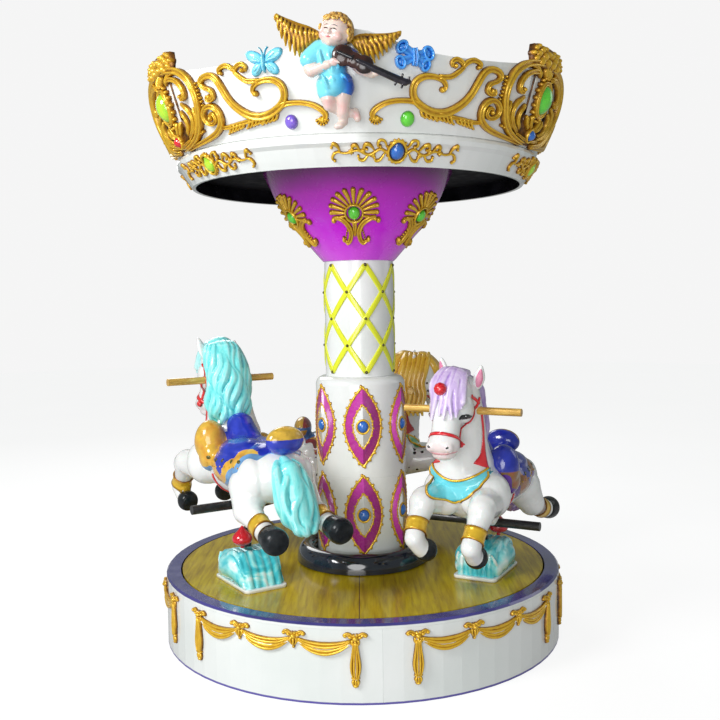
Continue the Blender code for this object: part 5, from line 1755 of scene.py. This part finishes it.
def make_horses():
    body = body_mesh()
    tree = tree_of(body)
    manes = (
        mane_mesh("horse_mane_wide", 0.90, 0.686, 0.009), mane_mesh("horse_mane_slim", 0.60, 0.664, -0.022),
        mane_mesh("horse_mane_full", 1.0, 0.684, 0.0, 6),
    )
    forelock = forelock_mesh(body)
    tail = tail_mesh()
    saddle = saddle_mesh(body)
    saddle_tree = tree_of(saddle)

    def on_both(path):
        return path, [mirror_face(point) for point in path]

    straps = [sleeve(tree, (0.330, FACE_MIDDLE, 0.504), (0.3255, FACE_MIDDLE, 0.513), 0.0038, 3, 36)]
    for path in on_both(
        [
            (0.312, 0.036, 0.490), (0.282, 0.044, 0.530), (0.246, 0.052, 0.572), (0.214, 0.058, 0.600),
            (0.200, 0.060, 0.622),
        ]
    ):
        straps.append(ribbon(tree, path, [0.0095], 0.0042))
    for path in on_both([(0.248, 0.054, 0.632), (0.226, 0.060, 0.618), (0.204, 0.062, 0.604)]):
        straps.append(ribbon(tree, path, [0.0095], 0.0046))
    for across in ((0.064, 0.066, 0.068, 0.072, 0.070), (-0.076, -0.078, -0.086, -0.092, -0.094)):
        path = [
            (x, y, z)
            for x, y, z in zip((0.196, 0.184, 0.182, 0.190, 0.202), across, (0.592, 0.545, 0.495, 0.440, 0.404))
        ]
        straps.append(ribbon(tree, path, [0.011, 0.011, 0.012, 0.026, 0.062], 0.0036, 8, steps=40))
    for side in SIDES:
        path = [(0.030, 0.118 * side, 0.286), (0.028, 0.100 * side, 0.236), (0.026, 0.060 * side, 0.212)]
        straps.append(ribbon(tree, path, [0.014], 0.004))
    for at in ((0.311, 0.040, 0.487), (0.311, -0.062, 0.487)):
        straps.append(boss(tree, at, 0.0115, 0.0115, 0.011))
        straps.append(boss(tree, at, 0.0055, 0.0055, 0.015))
    straps.append(pompom(tree, (0.318, -0.018, 0.652), 0.0200))

    collar, edges = bib(tree)
    gold = [ribbon(tree, edge, [0.0075], 0.0062, steps=60) for edge in edges]
    for start, end in (
        ((0.338, 0.0965, 0.232), (0.364, 0.0935, 0.198)), ((0.346, -0.0945, 0.244), (0.374, -0.0905, 0.210)),
        ((-0.282, 0.1050, 0.1775), (-0.322, 0.1065, 0.1640)), ((-0.282, -0.1050, 0.1775), (-0.322, -0.1065, 0.1640)),
    ):
        gold.append(sleeve(tree, start, end, 0.0042, 6, 30, 0.0022, 0.052))

    dark = [
        ribbon(tree, path, [0.004, 0.0150, 0.0175, 0.005], 0.0046, 6, steps=24) for path in on_both(list(EYE_PATH))
    ]
    for side in SIDES:
        nostril = (0.372, FACE_MIDDLE + 0.030 * side, 0.484)
        dark.append(boss(tree, nostril, 0.0052, 0.0036, 0.0022, 30.0 * side))
    # A small white dot on each eye: a painted highlight.
    glints = [boss(tree, (0.291, y, 0.5745), 0.0022, 0.0022, 0.0060) for y in (0.045, -0.067)]
    line = [
        (0.330, 0.034, 0.468), (0.356, 0.026, 0.463), (0.370, -0.011, 0.461), (0.356, -0.048, 0.463),
        (0.330, -0.056, 0.468),
    ]
    mouth = ribbon(tree, line, [0.003, 0.0055, 0.0045, 0.0055, 0.003], 0.0014, steps=40)

    studs, patches = [], []
    for side in SIDES:
        for k in range(9):
            studs.append(
                boss(saddle_tree, (0.020 - 0.026 * k, 0.150 * side, 0.318 + 0.0030 * k), 0.0030, 0.0030, 0.0024)
            )
        for k, x in enumerate((0.010, -0.040, -0.088, -0.136, -0.184)):
            patches.append(boss(saddle_tree, (x, 0.150 * side, 0.344 + 0.008 * k), 0.0078, 0.0062, 0.0022, 40.0 * k))

    meshes = {
        name: smooth_mesh("horse_" + name, bm)
        for name, bm in (
            ("straps", joined(straps)), ("gold", joined(gold)), ("collar", collar), ("eyes", joined(dark)),
            ("glint", joined(glints)), ("mouth", mouth), ("ears", ear_forms(0.0, False)),
            ("hollow", ear_forms(0.0, True)),
            ("low_ears", ear_forms(EAR_DROP, False)), ("low_hollow", ear_forms(EAR_DROP, True)),
            ("studs", joined(studs)), ("patches", joined(patches)),
        )
    }
    for name in ("ears", "low_ears"):
        for field in ("pink", "hoof"):
            set_field(meshes[name], field, np.zeros(len(meshes[name].vertices)))

    black = gloss("eye_black", ((0.004, 0.004, 0.005), (0.014, 0.013, 0.014)), 0.06, 1.0, 60.0, 0.05)
    # White paint for the eyes' glints, a painted highlight.
    shine = gloss("eye_painted_highlight", ((0.80, 0.80, 0.80), (0.92, 0.92, 0.92)), 0.1, 1.0, 60.0, 0.05)
    pink = gloss("ear_pink", ((0.74, 0.16, 0.34), (0.84, 0.34, 0.48)), 0.25, 0.5, 30.0, 0.1)
    lip = gloss("lip_pink", ((0.70, 0.30, 0.34), (0.82, 0.44, 0.46)), 0.25, 0.4, 30.0, 0.1)
    for number, (azimuth, lift, scheme) in enumerate(zip(HORSE_AZIMUTHS, HORSE_LIFTS, SCHEMES)):
        label = number + 1
        low = "" if number == 1 else "low_"
        red, cyan = scheme["strap"], scheme["collar"]
        coat = body_paint(f"horse_coat_{label}", scheme["spots"])
        strap = relief_shaded(
            f"strap_red_{label}", [
                (0.0, shade(red, 0.18)), (0.5, red), (1.0, shade(red, 1.2, 0.02)),
            ], 0.22, 0.0, 0.6, 60.0, 0.1,
        )
        cloth = relief_shaded(
            f"collar_{label}", [
                (0.0, shade(cyan, 0.3)), (0.5, cyan), (1.0, shade(cyan, 1.0, 0.10)),
            ], 0.2, 0.0, 0.6, 18.0, 0.1,
        )
        parts = (
            ("body", body, coat, "horse", "horse_white"), ("ears", meshes[low + "ears"], coat, None, "horse_white"),
            ("ear_hollows", meshes[low + "hollow"], pink, None, "horse_white"), (
                "mane", manes[number], hair_paint(f"mane_{label}", scheme["mane"]), None, "horse_white",
            ),
            ("forelock", forelock, hair_paint(f"forelock_{label}", scheme["forelock"]), None, "horse_white"),
            (
                "tail", tail, hair_paint(f"tail_{label}", scheme["mane"]), None, "horse_white",
            ), ("bridle", meshes["straps"], strap, None, "cap_red"),
            ("collar", meshes["collar"], cloth, None, "wave_cyan"), (
                "gold_trim", meshes["gold"], GOLD, None, "antique_gold",
            ),
            ("eyes", meshes["eyes"], black, None, "black_gloss"), (
                "glints", meshes["glint"], shine, None, "horse_white",
            ),
            ("mouth", meshes["mouth"], lip, None, "horse_white"),
            ("saddle_seat", saddle, saddle_paint(f"saddle_{label}", scheme), "saddle", "saddle_blue"),
            ("saddle_studs", meshes["studs"], GOLD, None, "antique_gold"),
            ("saddle_spots", meshes["patches"], STUD, None, "black_gloss"),
        )
        place = horse_frame(azimuth, lift)
        for part, mesh, paint, node, slot in parts:
            replaced = [f"{node}_{label}"] if node else []
            mesh_piece(f"horse_{label}_{part}", mesh, [paint], f"horse_body_{label}", replaced, place)


# Winged children with violins, on the crown
def crown_place(angle):
    """Local axes on the crown wall: X along it, Y inwards, Z up."""
    turn = math.radians(angle)
    return axes((math.cos(turn), math.sin(turn), 0.0), (-math.sin(turn), math.cos(turn), 0.0))


FRONT = -crown_radius(1.80) - 0.035
HEAD = Vector((-0.055, FRONT - 0.014, 1.909))
HEAD_TURN = (
    Matrix.Rotation(math.radians(14.0), 4, "Y") @ Matrix.Rotation(math.radians(-22.0), 4, "Z")
    @ Matrix.Rotation(math.radians(9.0), 4, "X")
)


def on_head(across, out, up):
    """A place on the head: X to the viewer's right, out of the face, and up."""
    return HEAD + (HEAD_TURN @ Vector((across, -out, up, 0.0))).to_3d()


def child_skin():
    bm = bmesh.new()
    add_ball(bm, HEAD, (0.0425, 0.0410, 0.0450), HEAD_TURN)
    add_ball(bm, on_head(0.0, 0.012, -0.018), (0.034, 0.030, 0.026))
    add_ball(bm, on_head(0.0, 0.029, -0.034), (0.011, 0.010, 0.009))
    for side in SIDES:
        add_ball(bm, on_head(0.020 * side, 0.026, -0.015), (0.015, 0.014, 0.014))
        add_ball(bm, on_head(0.042 * side, 0.004, -0.006), (0.006, 0.008, 0.010))
    add_limb(bm, on_head(0.0, 0.039, 0.004), 0.0035, on_head(0.0, 0.0445, -0.008), 0.0055)
    chains = (
        [((-0.072, FRONT, 1.878), 0.021), ((-0.074, FRONT, 1.850), 0.030)],
        [((-0.036, FRONT + 0.010, 1.770), 0.0265), ((-0.038, FRONT + 0.014, 1.742), 0.0235),
         ((-0.038, FRONT + 0.020, 1.714), 0.0180),
         ((-0.040, FRONT + 0.025, 1.700), 0.0185), ((-0.036, FRONT + 0.036, 1.678), 0.0125)],
        [
            ((-0.036, FRONT + 0.036, 1.676), 0.0125), ((-0.046, FRONT + 0.028, 1.665), 0.0115),
            ((-0.056, FRONT + 0.026, 1.661), 0.0090),
        ],
        [((-0.084, FRONT + 0.012, 1.764), 0.0255), ((-0.079, FRONT + 0.010, 1.735), 0.0210),
         ((-0.076, FRONT + 0.016, 1.718), 0.0175),
         ((-0.040, FRONT + 0.034, 1.704), 0.0150), ((-0.008, FRONT + 0.040, 1.698), 0.0120)],
        [((-0.004, FRONT + 0.040, 1.704), 0.0110), ((0.002, FRONT + 0.036, 1.684), 0.0105)],
        [((-0.112, FRONT, 1.850), 0.0185), ((-0.129, FRONT - 0.008, 1.812), 0.0170),
         ((-0.122, FRONT - 0.014, 1.803), 0.0165),
         ((-0.076, FRONT - 0.034, 1.817), 0.0125)],
        [
            ((-0.020, FRONT - 0.002, 1.842), 0.0140), ((0.010, FRONT - 0.006, 1.808), 0.0135),
            ((0.044, FRONT - 0.020, 1.792), 0.0110),
        ],
    )
    for chain in chains:
        add_chain(bm, chain)
    for hand in (Vector((-0.060, FRONT - 0.040, 1.822)), Vector((0.053, FRONT - 0.030, 1.795))):
        add_ball(bm, hand, (0.0125, 0.0085, 0.0115))
        for finger in range(4):
            start = hand + Vector((-0.006 + 0.0045 * finger, -0.004, 0.006 - 0.001 * finger))
            add_limb(bm, start, 0.0036, start + Vector((0.007, -0.004, -0.004 - 0.001 * finger)), 0.0031)
    skin = melded("child_skin", bm, 0.0025, 2)
    where = points_of(skin)
    blush = np.zeros(len(where))
    for spot, reach in (
        (on_head(-0.022, 0.034, -0.014), 0.016), (on_head(0.022, 0.034, -0.014), 0.016),
        (Vector((-0.038, FRONT, 1.706)), 0.022),
        (Vector((-0.078, FRONT, 1.722)), 0.022), (
            Vector((-0.060, FRONT - 0.045, 1.822)), 0.014,
        ), (Vector((0.0, FRONT + 0.03, 1.692)), 0.018),
    ):
        blush = np.maximum(blush, np.clip(1.0 - np.linalg.norm(where - np.array(spot), axis=1) / reach, 0.0, 1.0))
    set_field(skin, "blush", blush)
    return thinned(skin, 0.30)


def child_face(tree):
    """Calm eyes and brows, and the lips, set on the head."""
    eyes = []
    for side in SIDES:
        lid = [
            on_head((0.015 + 0.0085 * t) * side, 0.045, 0.0015 + 0.0022 * (1.0 - t * t))
            for t in (-1.0, -0.4, 0.3, 1.0)
        ]
        eyes.append(ribbon(tree, lid, [0.0012, 0.0034, 0.0036, 0.0014], 0.0016, steps=12))
        brow = [
            on_head((0.015 + 0.0105 * t) * side, 0.045, 0.0125 + 0.0020 * (1.0 - t * t)) for t in (-1.0, 0.0, 1.0)
        ]
        eyes.append(ribbon(tree, brow, [0.0008, 0.0020, 0.0010], 0.0009, steps=10))
    mouth = [on_head(0.0085 * t, 0.048, -0.0200 - 0.0006 * (1.0 - t * t)) for t in (-1.0, -0.4, 0.4, 1.0)]
    return joined(eyes), ribbon(tree, mouth, [0.0014, 0.0042, 0.0042, 0.0014], 0.0016, steps=12)


def child_hair():
    bm = bmesh.new()
    add_ball(bm, HEAD + Vector((0.006, 0.006, 0.007)), (0.0455, 0.0400, 0.0440))
    curls = 74
    for i in range(curls):
        up = 1.0 - 1.72 * (i + 0.5) / curls
        turn = math.pi * (3.0 - math.sqrt(5.0)) * i
        ring = math.sqrt(max(0.0, 1.0 - up * up))
        way = Vector((ring * math.cos(turn), -ring * math.sin(turn), up))
        local = (HEAD_TURN.inverted() @ way.to_4d()).to_3d()
        if local.z < -0.45 or (-local.y > 0.30 and local.z < 0.52 + 0.10 * math.cos(5.0 * local.x)):
            continue
        centre = HEAD + Vector((way.x * 0.046, way.y * 0.0445, way.z * 0.0475))
        side = way.orthogonal().normalized()
        other = way.cross(side)
        spin = 2.4 * i
        points = []
        for k in range(7):
            t = spin + 1.05 * k
            reach = 0.0092 - 0.0010 * k
            points.append(centre + way * (0.0006 * k) + (side * math.cos(t) + other * math.sin(t)) * reach)
        add_strand(bm, points, [0.0022, 0.0036, 0.0042, 0.0042, 0.0038, 0.0030], 1.0, 12, 6)
    return carved_field(melded("child_hair", bm, 0.0020, 0), 0.0011)


def carved_field(skin, depth):
    """A shading field from the surface's bulges: pale where the surface bulges, for a painted highlight, and deep in
    its grooves, for painted shade.
    """
    where = points_of(skin)
    edges = np.empty(len(skin.edges) * 2, np.int32)
    skin.edges.foreach_get("vertices", edges)
    edges = edges.reshape(-1, 2)
    near = np.maximum(np.bincount(edges.ravel(), minlength=len(where)), 1)[:, None]
    smooth = where
    for _ in range(4):
        total = np.zeros_like(where)
        np.add.at(total, edges[:, 0], smooth[edges[:, 1]])
        np.add.at(total, edges[:, 1], smooth[edges[:, 0]])
        smooth = total / near
    flat = np.empty(where.size, np.float32)
    skin.vertices.foreach_get("normal", flat)
    rise = ((where - smooth) * flat.reshape(-1, 3)).sum(1)
    set_field(skin, "relief_shading", np.clip(0.45 + rise / depth * 0.55, 0.0, 1.0))
    return thinned(skin, 0.28)


def child_dress():
    bm = bmesh.new()
    add_chain(bm, [
        ((-0.074, FRONT, 1.866), 0.029), ((-0.076, FRONT - 0.001, 1.848), 0.0385),
        ((-0.069, FRONT + 0.002, 1.815), 0.0400),
        ((-0.064, FRONT + 0.004, 1.800), 0.0390),
    ])
    add_chain(
        bm,
        [
            ((-0.100, FRONT, 1.866), 0.026), ((-0.120, FRONT - 0.002, 1.848), 0.0265),
            ((-0.130, FRONT - 0.004, 1.838), 0.0255),
        ]
    )
    add_chain(bm, [((-0.046, FRONT, 1.862), 0.024), ((-0.014, FRONT - 0.003, 1.846), 0.0215)])
    for off, low in ((-0.022, 1.800), (0.002, 1.798), (0.020, 1.806)):
        add_strand(
            bm,
            [
                (-0.078 + off, FRONT - 0.036, 1.858), (-0.073 + off, FRONT - 0.039, 1.830),
                (-0.066 + off, FRONT - 0.034, low),
            ],
            [0.003, 0.0055, 0.004], 0.8,
        )
    shirt = melded("child_shirt", bm, 0.0025, 2)
    bm = bmesh.new()
    add_chain(bm, [((-0.064, FRONT + 0.005, 1.796), 0.0385), ((-0.059, FRONT + 0.008, 1.778), 0.0420)])
    add_chain(bm, [((-0.038, FRONT + 0.010, 1.776), 0.0310), ((-0.034, FRONT + 0.012, 1.764), 0.0300)])
    add_chain(bm, [((-0.082, FRONT + 0.012, 1.772), 0.0300), ((-0.081, FRONT + 0.012, 1.754), 0.0285)])
    for (x, z), (to_x, to_z) in (
        ((-0.095, 1.792), (-0.076, 1.756)), ((-0.070, 1.794), (-0.056, 1.760)), ((-0.040, 1.794), (-0.020, 1.772)),
    ):
        fold = [
            (x, FRONT - 0.026, z), (0.5 * (x + to_x), FRONT - 0.032, 0.5 * (z + to_z)), (to_x, FRONT - 0.024, to_z),
        ]
        add_strand(bm, fold, [0.003, 0.0055, 0.004], 0.8)
    shorts = melded("child_shorts", bm, 0.0025, 2)
    finished = [carved_field(shirt, 0.0016), carved_field(shorts, 0.0016)]
    for skin in finished:
        set_field(skin, "tint", np.clip((points_of(skin)[:, 0] + 0.066) / 0.055, 0.0, 1.0))
    return finished


def feathered_wing(name, lead, foot, depth):
    """Feathers that fan from a rolled leading edge to the wing's lower outline, in two layers."""
    bm = bmesh.new()
    top, low = (
        [Vector(point) for point in spline([Vector((x, 0.0, z)) for x, z in line], 12)] for line in (lead, foot)
    )

    def feather(root, tip, bulge, stations, radii, steps):
        """Stations are (share of the way to the tip, how far out, share of the bulge)."""
        points = [
            root.lerp(tip, way) + Vector((0.0, depth - out - bulge * share, 0.0)) for way, out, share in stations
        ]
        add_strand(bm, points, radii, 0.62, steps)

    for i in range(12):
        bulge = 0.010 * math.sin(math.pi * (i + 0.5) / 12.0)
        stations = ((0.0, 0.003, 0.0), (0.35, 0.009, 1.0), (0.72, 0.007, 0.8), (1.0, 0.001, 0.0))
        feather(top[i], low[i], bulge, stations, [0.0060, 0.0078, 0.0080, 0.0030], 14)
    for i in range(11):
        bulge = 0.010 * math.sin(math.pi * (i + 1.0) / 12.0)
        stations = ((0.0, 0.006, 0.0), (0.24, 0.0125, 1.0), (0.50, 0.0095, 1.0))
        root, tip = top[i].lerp(top[i + 1], 0.5), low[i].lerp(low[i + 1], 0.5)
        feather(root, tip, bulge, stations, [0.0050, 0.0074, 0.0034], 10)
    rim = [Vector((x, depth - 0.006, z)) for x, z in lead]
    add_strand(bm, rim, [0.0062, 0.0078, 0.0072, 0.0034], 1.0, 24)
    return carved_field(melded(name, bm, 0.0020, 1), 0.0010)


def child_violin():
    bm = bmesh.new()
    tilt = Matrix.Rotation(math.radians(23.0), 4, "Y")
    away = FRONT - 0.036
    for x, z, wide, tall in (
        (-0.036, 1.840, 0.031, 0.030), (-0.006, 1.827, 0.026, 0.022), (0.022, 1.815, 0.027, 0.026),
    ):
        add_ball(bm, (x, away, z), (wide, 0.0115, tall), tilt)
    body = melded("violin_body", bm, 0.0022, 2)
    rest = bmesh.new()
    add_chain(rest, [((-0.048, away - 0.011, 1.846), 0.0058), ((-0.012, away - 0.0135, 1.830), 0.0044)])
    add_chain(
        rest,
        [
            ((0.004, away - 0.0130, 1.823), 0.0056), ((0.046, away - 0.002, 1.804), 0.0098),
            ((0.112, away + 0.010, 1.777), 0.0104),
        ]
    )
    add_chain(
        rest,
        [
            ((0.112, away + 0.010, 1.777), 0.0096), ((0.134, away + 0.014, 1.769), 0.0104),
            ((0.144, away + 0.014, 1.770), 0.0070),
        ]
    )
    for k in range(4):
        start = Vector((0.112 + 0.009 * k, away + 0.010, 1.777 - 0.004 * k))
        side = 1.0 if k % 2 else -1.0
        add_limb(rest, start, 0.0026, start + Vector((0.006 * side, -0.002, 0.015 * side)), 0.0036)
    add_limb(rest, (-0.012, away - 0.013, 1.822), 0.0022, (-0.007, away - 0.013, 1.838), 0.0022)
    neck = melded("violin_neck", rest, 0.0018, 1)
    return thinned(body, 0.35), thinned(neck, 0.35)


LEFT_WING = (
    ((-0.104, 1.912), (-0.130, 1.924), (-0.160, 1.934), (-0.192, 1.948), (-0.220, 1.964)),
    (
        (-0.110, 1.890), (-0.124, 1.872), (-0.142, 1.856), (-0.162, 1.849), (-0.186, 1.868), (-0.206, 1.902),
        (-0.219, 1.945),
    ),
)
RIGHT_WING = (
    ((-0.012, 1.892), (0.014, 1.902), (0.050, 1.902), (0.088, 1.904), (0.122, 1.912)),
    ((0.004, 1.868), (0.020, 1.848), (0.048, 1.829), (0.070, 1.844), (0.090, 1.862), (0.108, 1.884), (0.119, 1.902)),
)


def skin_paint():
    made = Shader("child_skin", 0.24, 0.0, 0.5, 0.08, 0.1)
    base = made.tone(14.0, 4.0, (0.76, 0.58, 0.52), (0.86, 0.72, 0.66))
    colour = made.mix(made.math("MULTIPLY", made.field("blush"), 0.55), base, (0.84, 0.28, 0.30))
    return made.finished(colour, (30.0, 0.20, 0.32), (40.0, 3.0, 0.1, 0.0008))


def cloth_paint():
    """Turquoise cloth that goes over to deep blue on one side."""
    made = Shader("child_cloth", 0.24, 0.0, 0.5, 0.08)
    tone = made.ramp(made.stirred(made.field("tint"), 0.30, made.noise(16.0)), [
        (0.0, (0.22, 0.74, 0.88)), (0.42, (0.08, 0.52, 0.86)), (0.75, (0.02, 0.16, 0.66)), (1.0, (0.01, 0.05, 0.34)),
    ])
    # Painted shade: the cloth goes towards deep blue in its grooves.
    deep = made.math("MULTIPLY", made.span(made.field("relief_shading"), 0.0, 0.5, 1.0, 0.0), 0.45)
    return made.finished(made.mix(deep, tone, (0.01, 0.10, 0.36)), (30.0, 0.20, 0.32), (90.0, 3.0, 0.15, 0.0008))


def make_cherubs():
    skin = child_skin()
    eyes, lips = child_face(tree_of(skin))
    shirt, shorts = child_dress()
    body, neck = child_violin()
    brown = gloss("child_eye_brown", ((0.020, 0.010, 0.008), (0.060, 0.030, 0.020)), 0.2, 0.6, 60.0, 0.05)
    rose = gloss("child_lip_rose", ((0.62, 0.10, 0.13), (0.74, 0.20, 0.22)), 0.22, 0.5, 60.0, 0.05)
    dark = gloss("violin_brown", ((0.010, 0.003, 0.003), (0.050, 0.012, 0.008)), 0.22, 0.5, 20.0, 0.1)
    ebony = gloss("violin_ebony", ((0.004, 0.004, 0.008), (0.016, 0.012, 0.022)), 0.2, 0.6, 40.0, 0.1)
    curls = hair_paint("child_hair_gold", ((0.12, 0.040, 0.004), (0.52, 0.24, 0.03), (0.86, 0.56, 0.13)))
    cloth = cloth_paint()
    parts = (
        ("skin", skin, skin_paint(), "cherub_paint"), ("eyes", smooth_mesh("child_eyes", eyes), brown, "black_gloss"),
        ("lips", smooth_mesh("child_lips", lips), rose, "cap_red"), ("shirt", shirt, cloth, "wave_cyan"),
        ("shorts", shorts, cloth, "wave_cyan"), ("hair", child_hair(), curls, "antique_gold"),
        ("wing_left", feathered_wing("wing_left", *LEFT_WING, FRONT + 0.012), GOLD, "antique_gold"),
        ("wing_right", feathered_wing("wing_right", *RIGHT_WING, FRONT + 0.013), GOLD, "antique_gold"),
        ("violin_body", body, dark, "black_gloss"), ("violin_neck", neck, ebony, "black_gloss"),
    )
    for k in range(3):
        place = crown_place(CHERUB_PHASE + 120.0 * k)
        for part, mesh, paint, slot in parts:
            replaced = [f"cherub_{k + 1}"] if part == "skin" else []
            mesh_piece(f"cherub_{k + 1}_{part}", mesh, [paint], "turntable", replaced, place)


# Wave pedestals under the horses
def wave_height(x):
    """Height of the wave's outline over the deck: a long back slope, a flat crest and a steep face."""
    return float(np.interp(x, (-0.126, -0.062, 0.012, 0.080, 0.104), (0.006, 0.116, 0.116, 0.094, 0.006)))


def pedestal_mesh():
    """A breaking wave: a curled crest, ribs of water down its sides, and a flat foot."""
    bm = bmesh.new()
    for row in range(5):
        w = -0.050 + 0.025 * row
        add_chain(bm, [
            ((-0.110, w, 0.014), 0.014), ((-0.084, w, 0.058), 0.018), ((-0.052, w, 0.098), 0.020),
            ((0.006, w, 0.100), 0.019),
            ((0.068, w, 0.082), 0.019), ((0.084, w, 0.050), 0.018), ((0.090, w, 0.014), 0.014),
        ])
        add_chain(
            bm,
            [
                ((-0.076, w, 0.030), 0.030), ((-0.030, w, 0.062), 0.046), ((0.030, w, 0.056), 0.046),
                ((0.064, w, 0.036), 0.034),
            ]
        )
    for side in SIDES:
        for k in range(6):
            x = -0.092 + 0.034 * k
            high = wave_height(x) - 0.006
            add_strand(bm, [
                (x + 0.022, 0.058 * side, high), (x + 0.012, 0.066 * side, 0.72 * high),
                (x - 0.004, 0.0675 * side, 0.42 * high), (x - 0.018, 0.0680 * side, 0.012),
            ], [0.004, 0.0080, 0.0085, 0.006], 0.8, 16)
        add_strand(bm, [
            (-0.098, 0.066 * side, 0.050), (-0.068, 0.068 * side, 0.092), (-0.034, 0.068 * side, 0.110),
            (0.004, 0.069 * side, 0.102),
            (0.012, 0.070 * side, 0.084), (-0.004, 0.070 * side, 0.072), (-0.020, 0.070 * side, 0.080),
            (-0.012, 0.071 * side, 0.090),
        ], [0.004, 0.008, 0.010, 0.010, 0.009, 0.008, 0.006, 0.003], 0.9, 40)
    for k in range(4):
        w = -0.048 + 0.032 * k
        for line in (((0.056, 0.098), (0.090, 0.078), (0.100, 0.044), (0.100, 0.012)),
                     ((-0.050, 0.114), (-0.080, 0.074), (-0.104, 0.034), (-0.116, 0.012))):
            add_strand(bm, [(x, w, z) for x, z in line], [0.004, 0.010, 0.010, 0.007], 0.8, 14)
    bmesh.ops.translate(bm, verts=list(bm.verts), vec=(0.0, PEDESTAL_SHIFT, 0.0))
    skin = melded("wave_body", bm, 0.0030, 2)
    where = points_of(skin)
    where[:, 2] = np.clip(where[:, 2], 0.003, PEDESTAL_HEIGHT - 0.0012)
    skin.vertices.foreach_set("co", where.ravel())
    return carved_field(skin, 0.0020)


def flange_mesh():
    """The pedestal's flat foot: a slab with rounded corners and a soft upper edge."""
    bm = bmesh.new()
    corner = 0.018
    back, front = PEDESTAL_BACK - 0.006 + corner, PEDESTAL_FRONT + 0.006 - corner
    inner, outer = PEDESTAL_SHIFT - 0.076 + corner, PEDESTAL_SHIFT + 0.076 - corner
    outline = []
    for cx, cy, start in ((front, outer, 0.0), (back, outer, 90.0), (back, inner, 180.0), (front, inner, 270.0)):
        for k in range(7):
            t = math.radians(start + 15.0 * k)
            outline.append((cx + corner * math.cos(t), cy + corner * math.sin(t)))
    face = bm.faces.new([bm.verts.new((x, y, 0.0006)) for x, y in outline])
    grown = bmesh.ops.extrude_face_region(bm, geom=[face])
    top = [v for v in grown["geom"] if isinstance(v, bmesh.types.BMVert)]
    bmesh.ops.translate(bm, verts=top, vec=(0.0, 0.0, 0.0105))
    crown = [e for e in bm.edges if e.verts[0] in top and e.verts[1] in top]
    bmesh.ops.bevel(bm, geom=crown, offset=0.0035, segments=3, affect="EDGES", profile=0.6)
    return bm


def wave_paint():
    """White foam and cyan water, swirled into each other, with painted shade deeper in the grooves."""
    made = Shader("wave_cyan_white", 0.2, 0.0, 0.6, 0.06)
    level = made.stirred(made.noise(9.0, 3.0, None, 0.5, 1.6), 0.36, made.field("relief_shading"))
    tone = made.ramp(level, [
        (0.22, (0.01, 0.28, 0.36)), (0.42, (0.06, 0.58, 0.66)), (0.54, (0.30, 0.80, 0.80)),
        (0.66, (0.78, 0.90, 0.88)),
    ])
    return made.finished(tone, (30.0, 0.14, 0.28), (40.0, 3.0, 0.15, 0.001))


CAP_LINE = (
    (0.007, 0.0), (0.008, 0.009), (0.021, 0.012), (0.0305, 0.020), (0.0335, 0.029), (0.0315, 0.039),
    (0.0240, 0.049), (0.0150, 0.058), (0.0080, 0.066), (0.0030, 0.0725), (0.0, 0.0745),
)


def cap_form():
    """The red drop-shaped cap over the foot of each post, with a turned lip."""
    *line, top = spline(CAP_LINE, 36)
    bm = bmesh.new()
    rings = [[bm.verts.new((*spot, z)) for spot in ellipse(0.0, 0.0, radius, radius, 48)] for radius, z in line]
    bridge(rings, bm.faces.new)
    bm.faces.new(rings[0][::-1])
    tip = bm.verts.new((0.0, 0.0, top[1]))
    for k in range(48):
        bm.faces.new((rings[-1][k], rings[-1][(k + 1) % 48], tip))
    return bm


def make_pedestals():
    red, wave, paint = cap_paint(), pedestal_mesh(), wave_paint()
    for number, azimuth in enumerate(HORSE_AZIMUTHS):
        label = number + 1
        place = horse_frame(azimuth, 0.0)
        mesh_piece(f"wave_{label}", wave, [paint], "turntable", [f"wave_pedestal_{label}"], place)
        piece(f"wave_flange_{label}", flange_mesh(), [WHITE], "turntable", (), place)
        on_top = place @ Matrix.Translation((-0.030, 0.042, PEDESTAL_HEIGHT + 0.0003))
        piece(f"post_cap_{label}", cap_form(), [red], "turntable", [f"red_cap_{label}"], on_top)


bpy.context.scene.view_settings.view_transform = "Standard"
set_camera()
set_studio()
set_floor()
dress_nodes()
make_turned()
make_swags()
make_medallions()
make_lattice()
make_shells()
make_band_scrolls()
make_crown_ornament()
make_cartouches()
make_horses()
make_cherubs()
make_pedestals()
